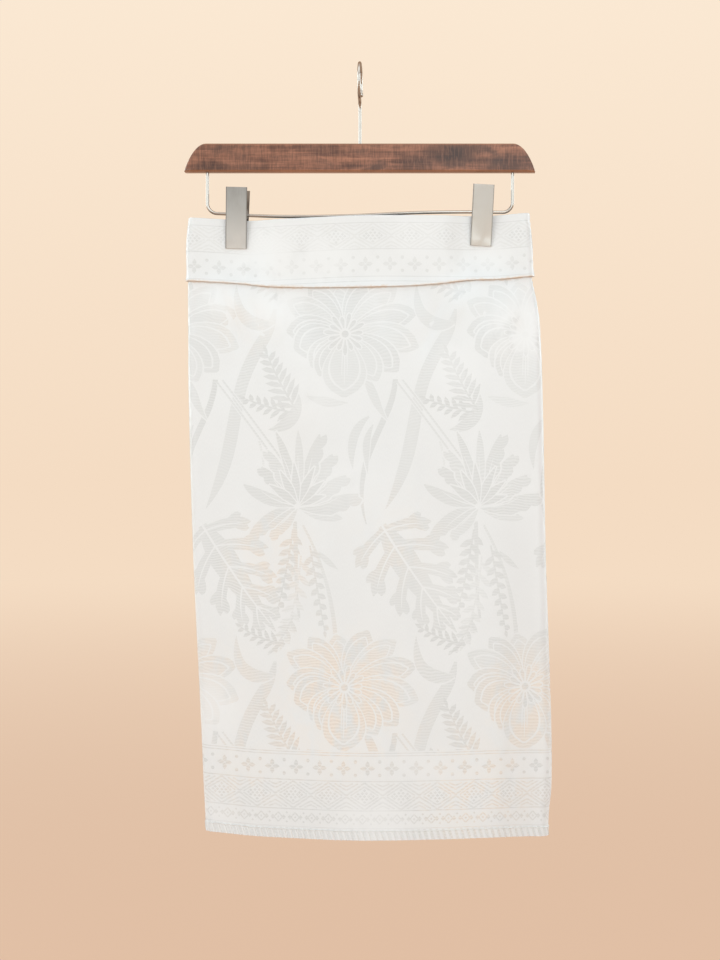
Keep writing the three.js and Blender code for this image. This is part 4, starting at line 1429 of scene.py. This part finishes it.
def make_floor():
    mesh = bpy.data.meshes.new("floor")
    corners = [(-1, -1), (1, -1), (1, 1), (-1, 1)]
    verts = [(FLOOR_SIZE * x, FLOOR_SIZE * y, -FLOOR_DROP) for x, y in corners]
    mesh.from_pydata(verts, [], [(0, 1, 2, 3)])
    shader = Shader("floor_paint", Roughness=0.9, Specular_IOR_Level=0.0, Emission_Strength=1.0)
    speckle = shader.noise(shader.place(), 3.0)
    away = shader.node("VectorMath", "Value", {0: shader.place()}, operation="LENGTH")
    # The floor's seen colour is a painted glow: emitted, warm near the object and paling far off to the
    # horizon's, over a dark diffuse colour
    far = shader.math("POWER", shader.steps(away, 1.5, 16.0), 0.55)
    near = shader.mix(speckle, (0.10, 0.068, 0.048), (0.11, 0.075, 0.053))
    shader.set(Base_Color=shader.mix(far, near, (0, 0, 0)),
               Emission_Color=shader.mix(far, (0.665, 0.452, 0.320), HORIZON))
    mesh.materials.append(shader.material)
    put("floor", mesh)


def make_world():
    """The studio: what the camera sees, what lights the cloth softly, and what the metal mirrors."""
    world = bpy.data.worlds.new("studio")
    bpy.context.scene.world = world
    world.use_nodes = True
    nodes = Nodes(world.node_tree)

    def ramp(value, *ends):
        signal = nodes.node("ValToRGB", "Color", {0: value})
        for element, (position, colour) in zip(signal.socket.node.color_ramp.elements, ends):
            element.position, element.color = position, (*colour, 1)
        return signal

    def background(colour, strength):
        return nodes.node("Background", 0, {"Color": colour, "Strength": strength})

    _, depth, height = nodes.split(nodes.node("TexCoord", "Generated"))
    seen = background(ramp(height, (0, HORIZON), (0.27, (0.965, 0.815, 0.655))), 1.0)
    ambient = background((0.76, 0.89, 1.0), 0.40)
    depth = nodes.steps(depth, -1.0, 1.0, kind="LINEAR")
    reflected = ramp(depth, (0.42, (0.84, 0.82, 0.79)), (0.80, (0.40, 0.27, 0.18)))
    mirrored = background(reflected, nodes.steps(height, 0.0, 1.0, 0.95, 1.85, "LINEAR"))
    rays = nodes.node("LightPath", None)
    unseen = nodes.node("MixShader", 0, {0: rays["Is Diffuse Ray"], 1: mirrored, 2: ambient})
    surface = nodes.node("MixShader", 0, {0: rays["Is Camera Ray"], 1: unseen, 2: seen})
    nodes.feed(nodes.tree.nodes["World Output"].inputs["Surface"], surface)


def make_lights():
    for name, (place, size, power, colour) in LIGHTS.items():
        light = bpy.data.lights.new(name, "AREA")
        light.shape = "RECTANGLE"
        light.size, light.size_y = size
        light.energy = power
        light.color = colour
        obj = put(name, light)
        obj.location = place
        obj.rotation_euler = (Vector(VIEW_MIDDLE) - Vector(place)).to_track_quat("-Z", "Y").to_euler()


def make_camera():
    camera = bpy.data.cameras.new("camera")
    camera.sensor_width = 36
    camera.lens = 67.5
    camera.shift_x = -110 / 960
    obj = put("camera", camera)
    obj.location = (0.110, -1.8, -0.415)
    obj.rotation_euler = (math.radians(90), 0, 0)
    bpy.context.scene.camera = obj
    bpy.context.scene.view_settings.view_transform = "Standard"


make_camera()
make_floor()
make_world()
make_lights()
make_hanger()
make_garment()
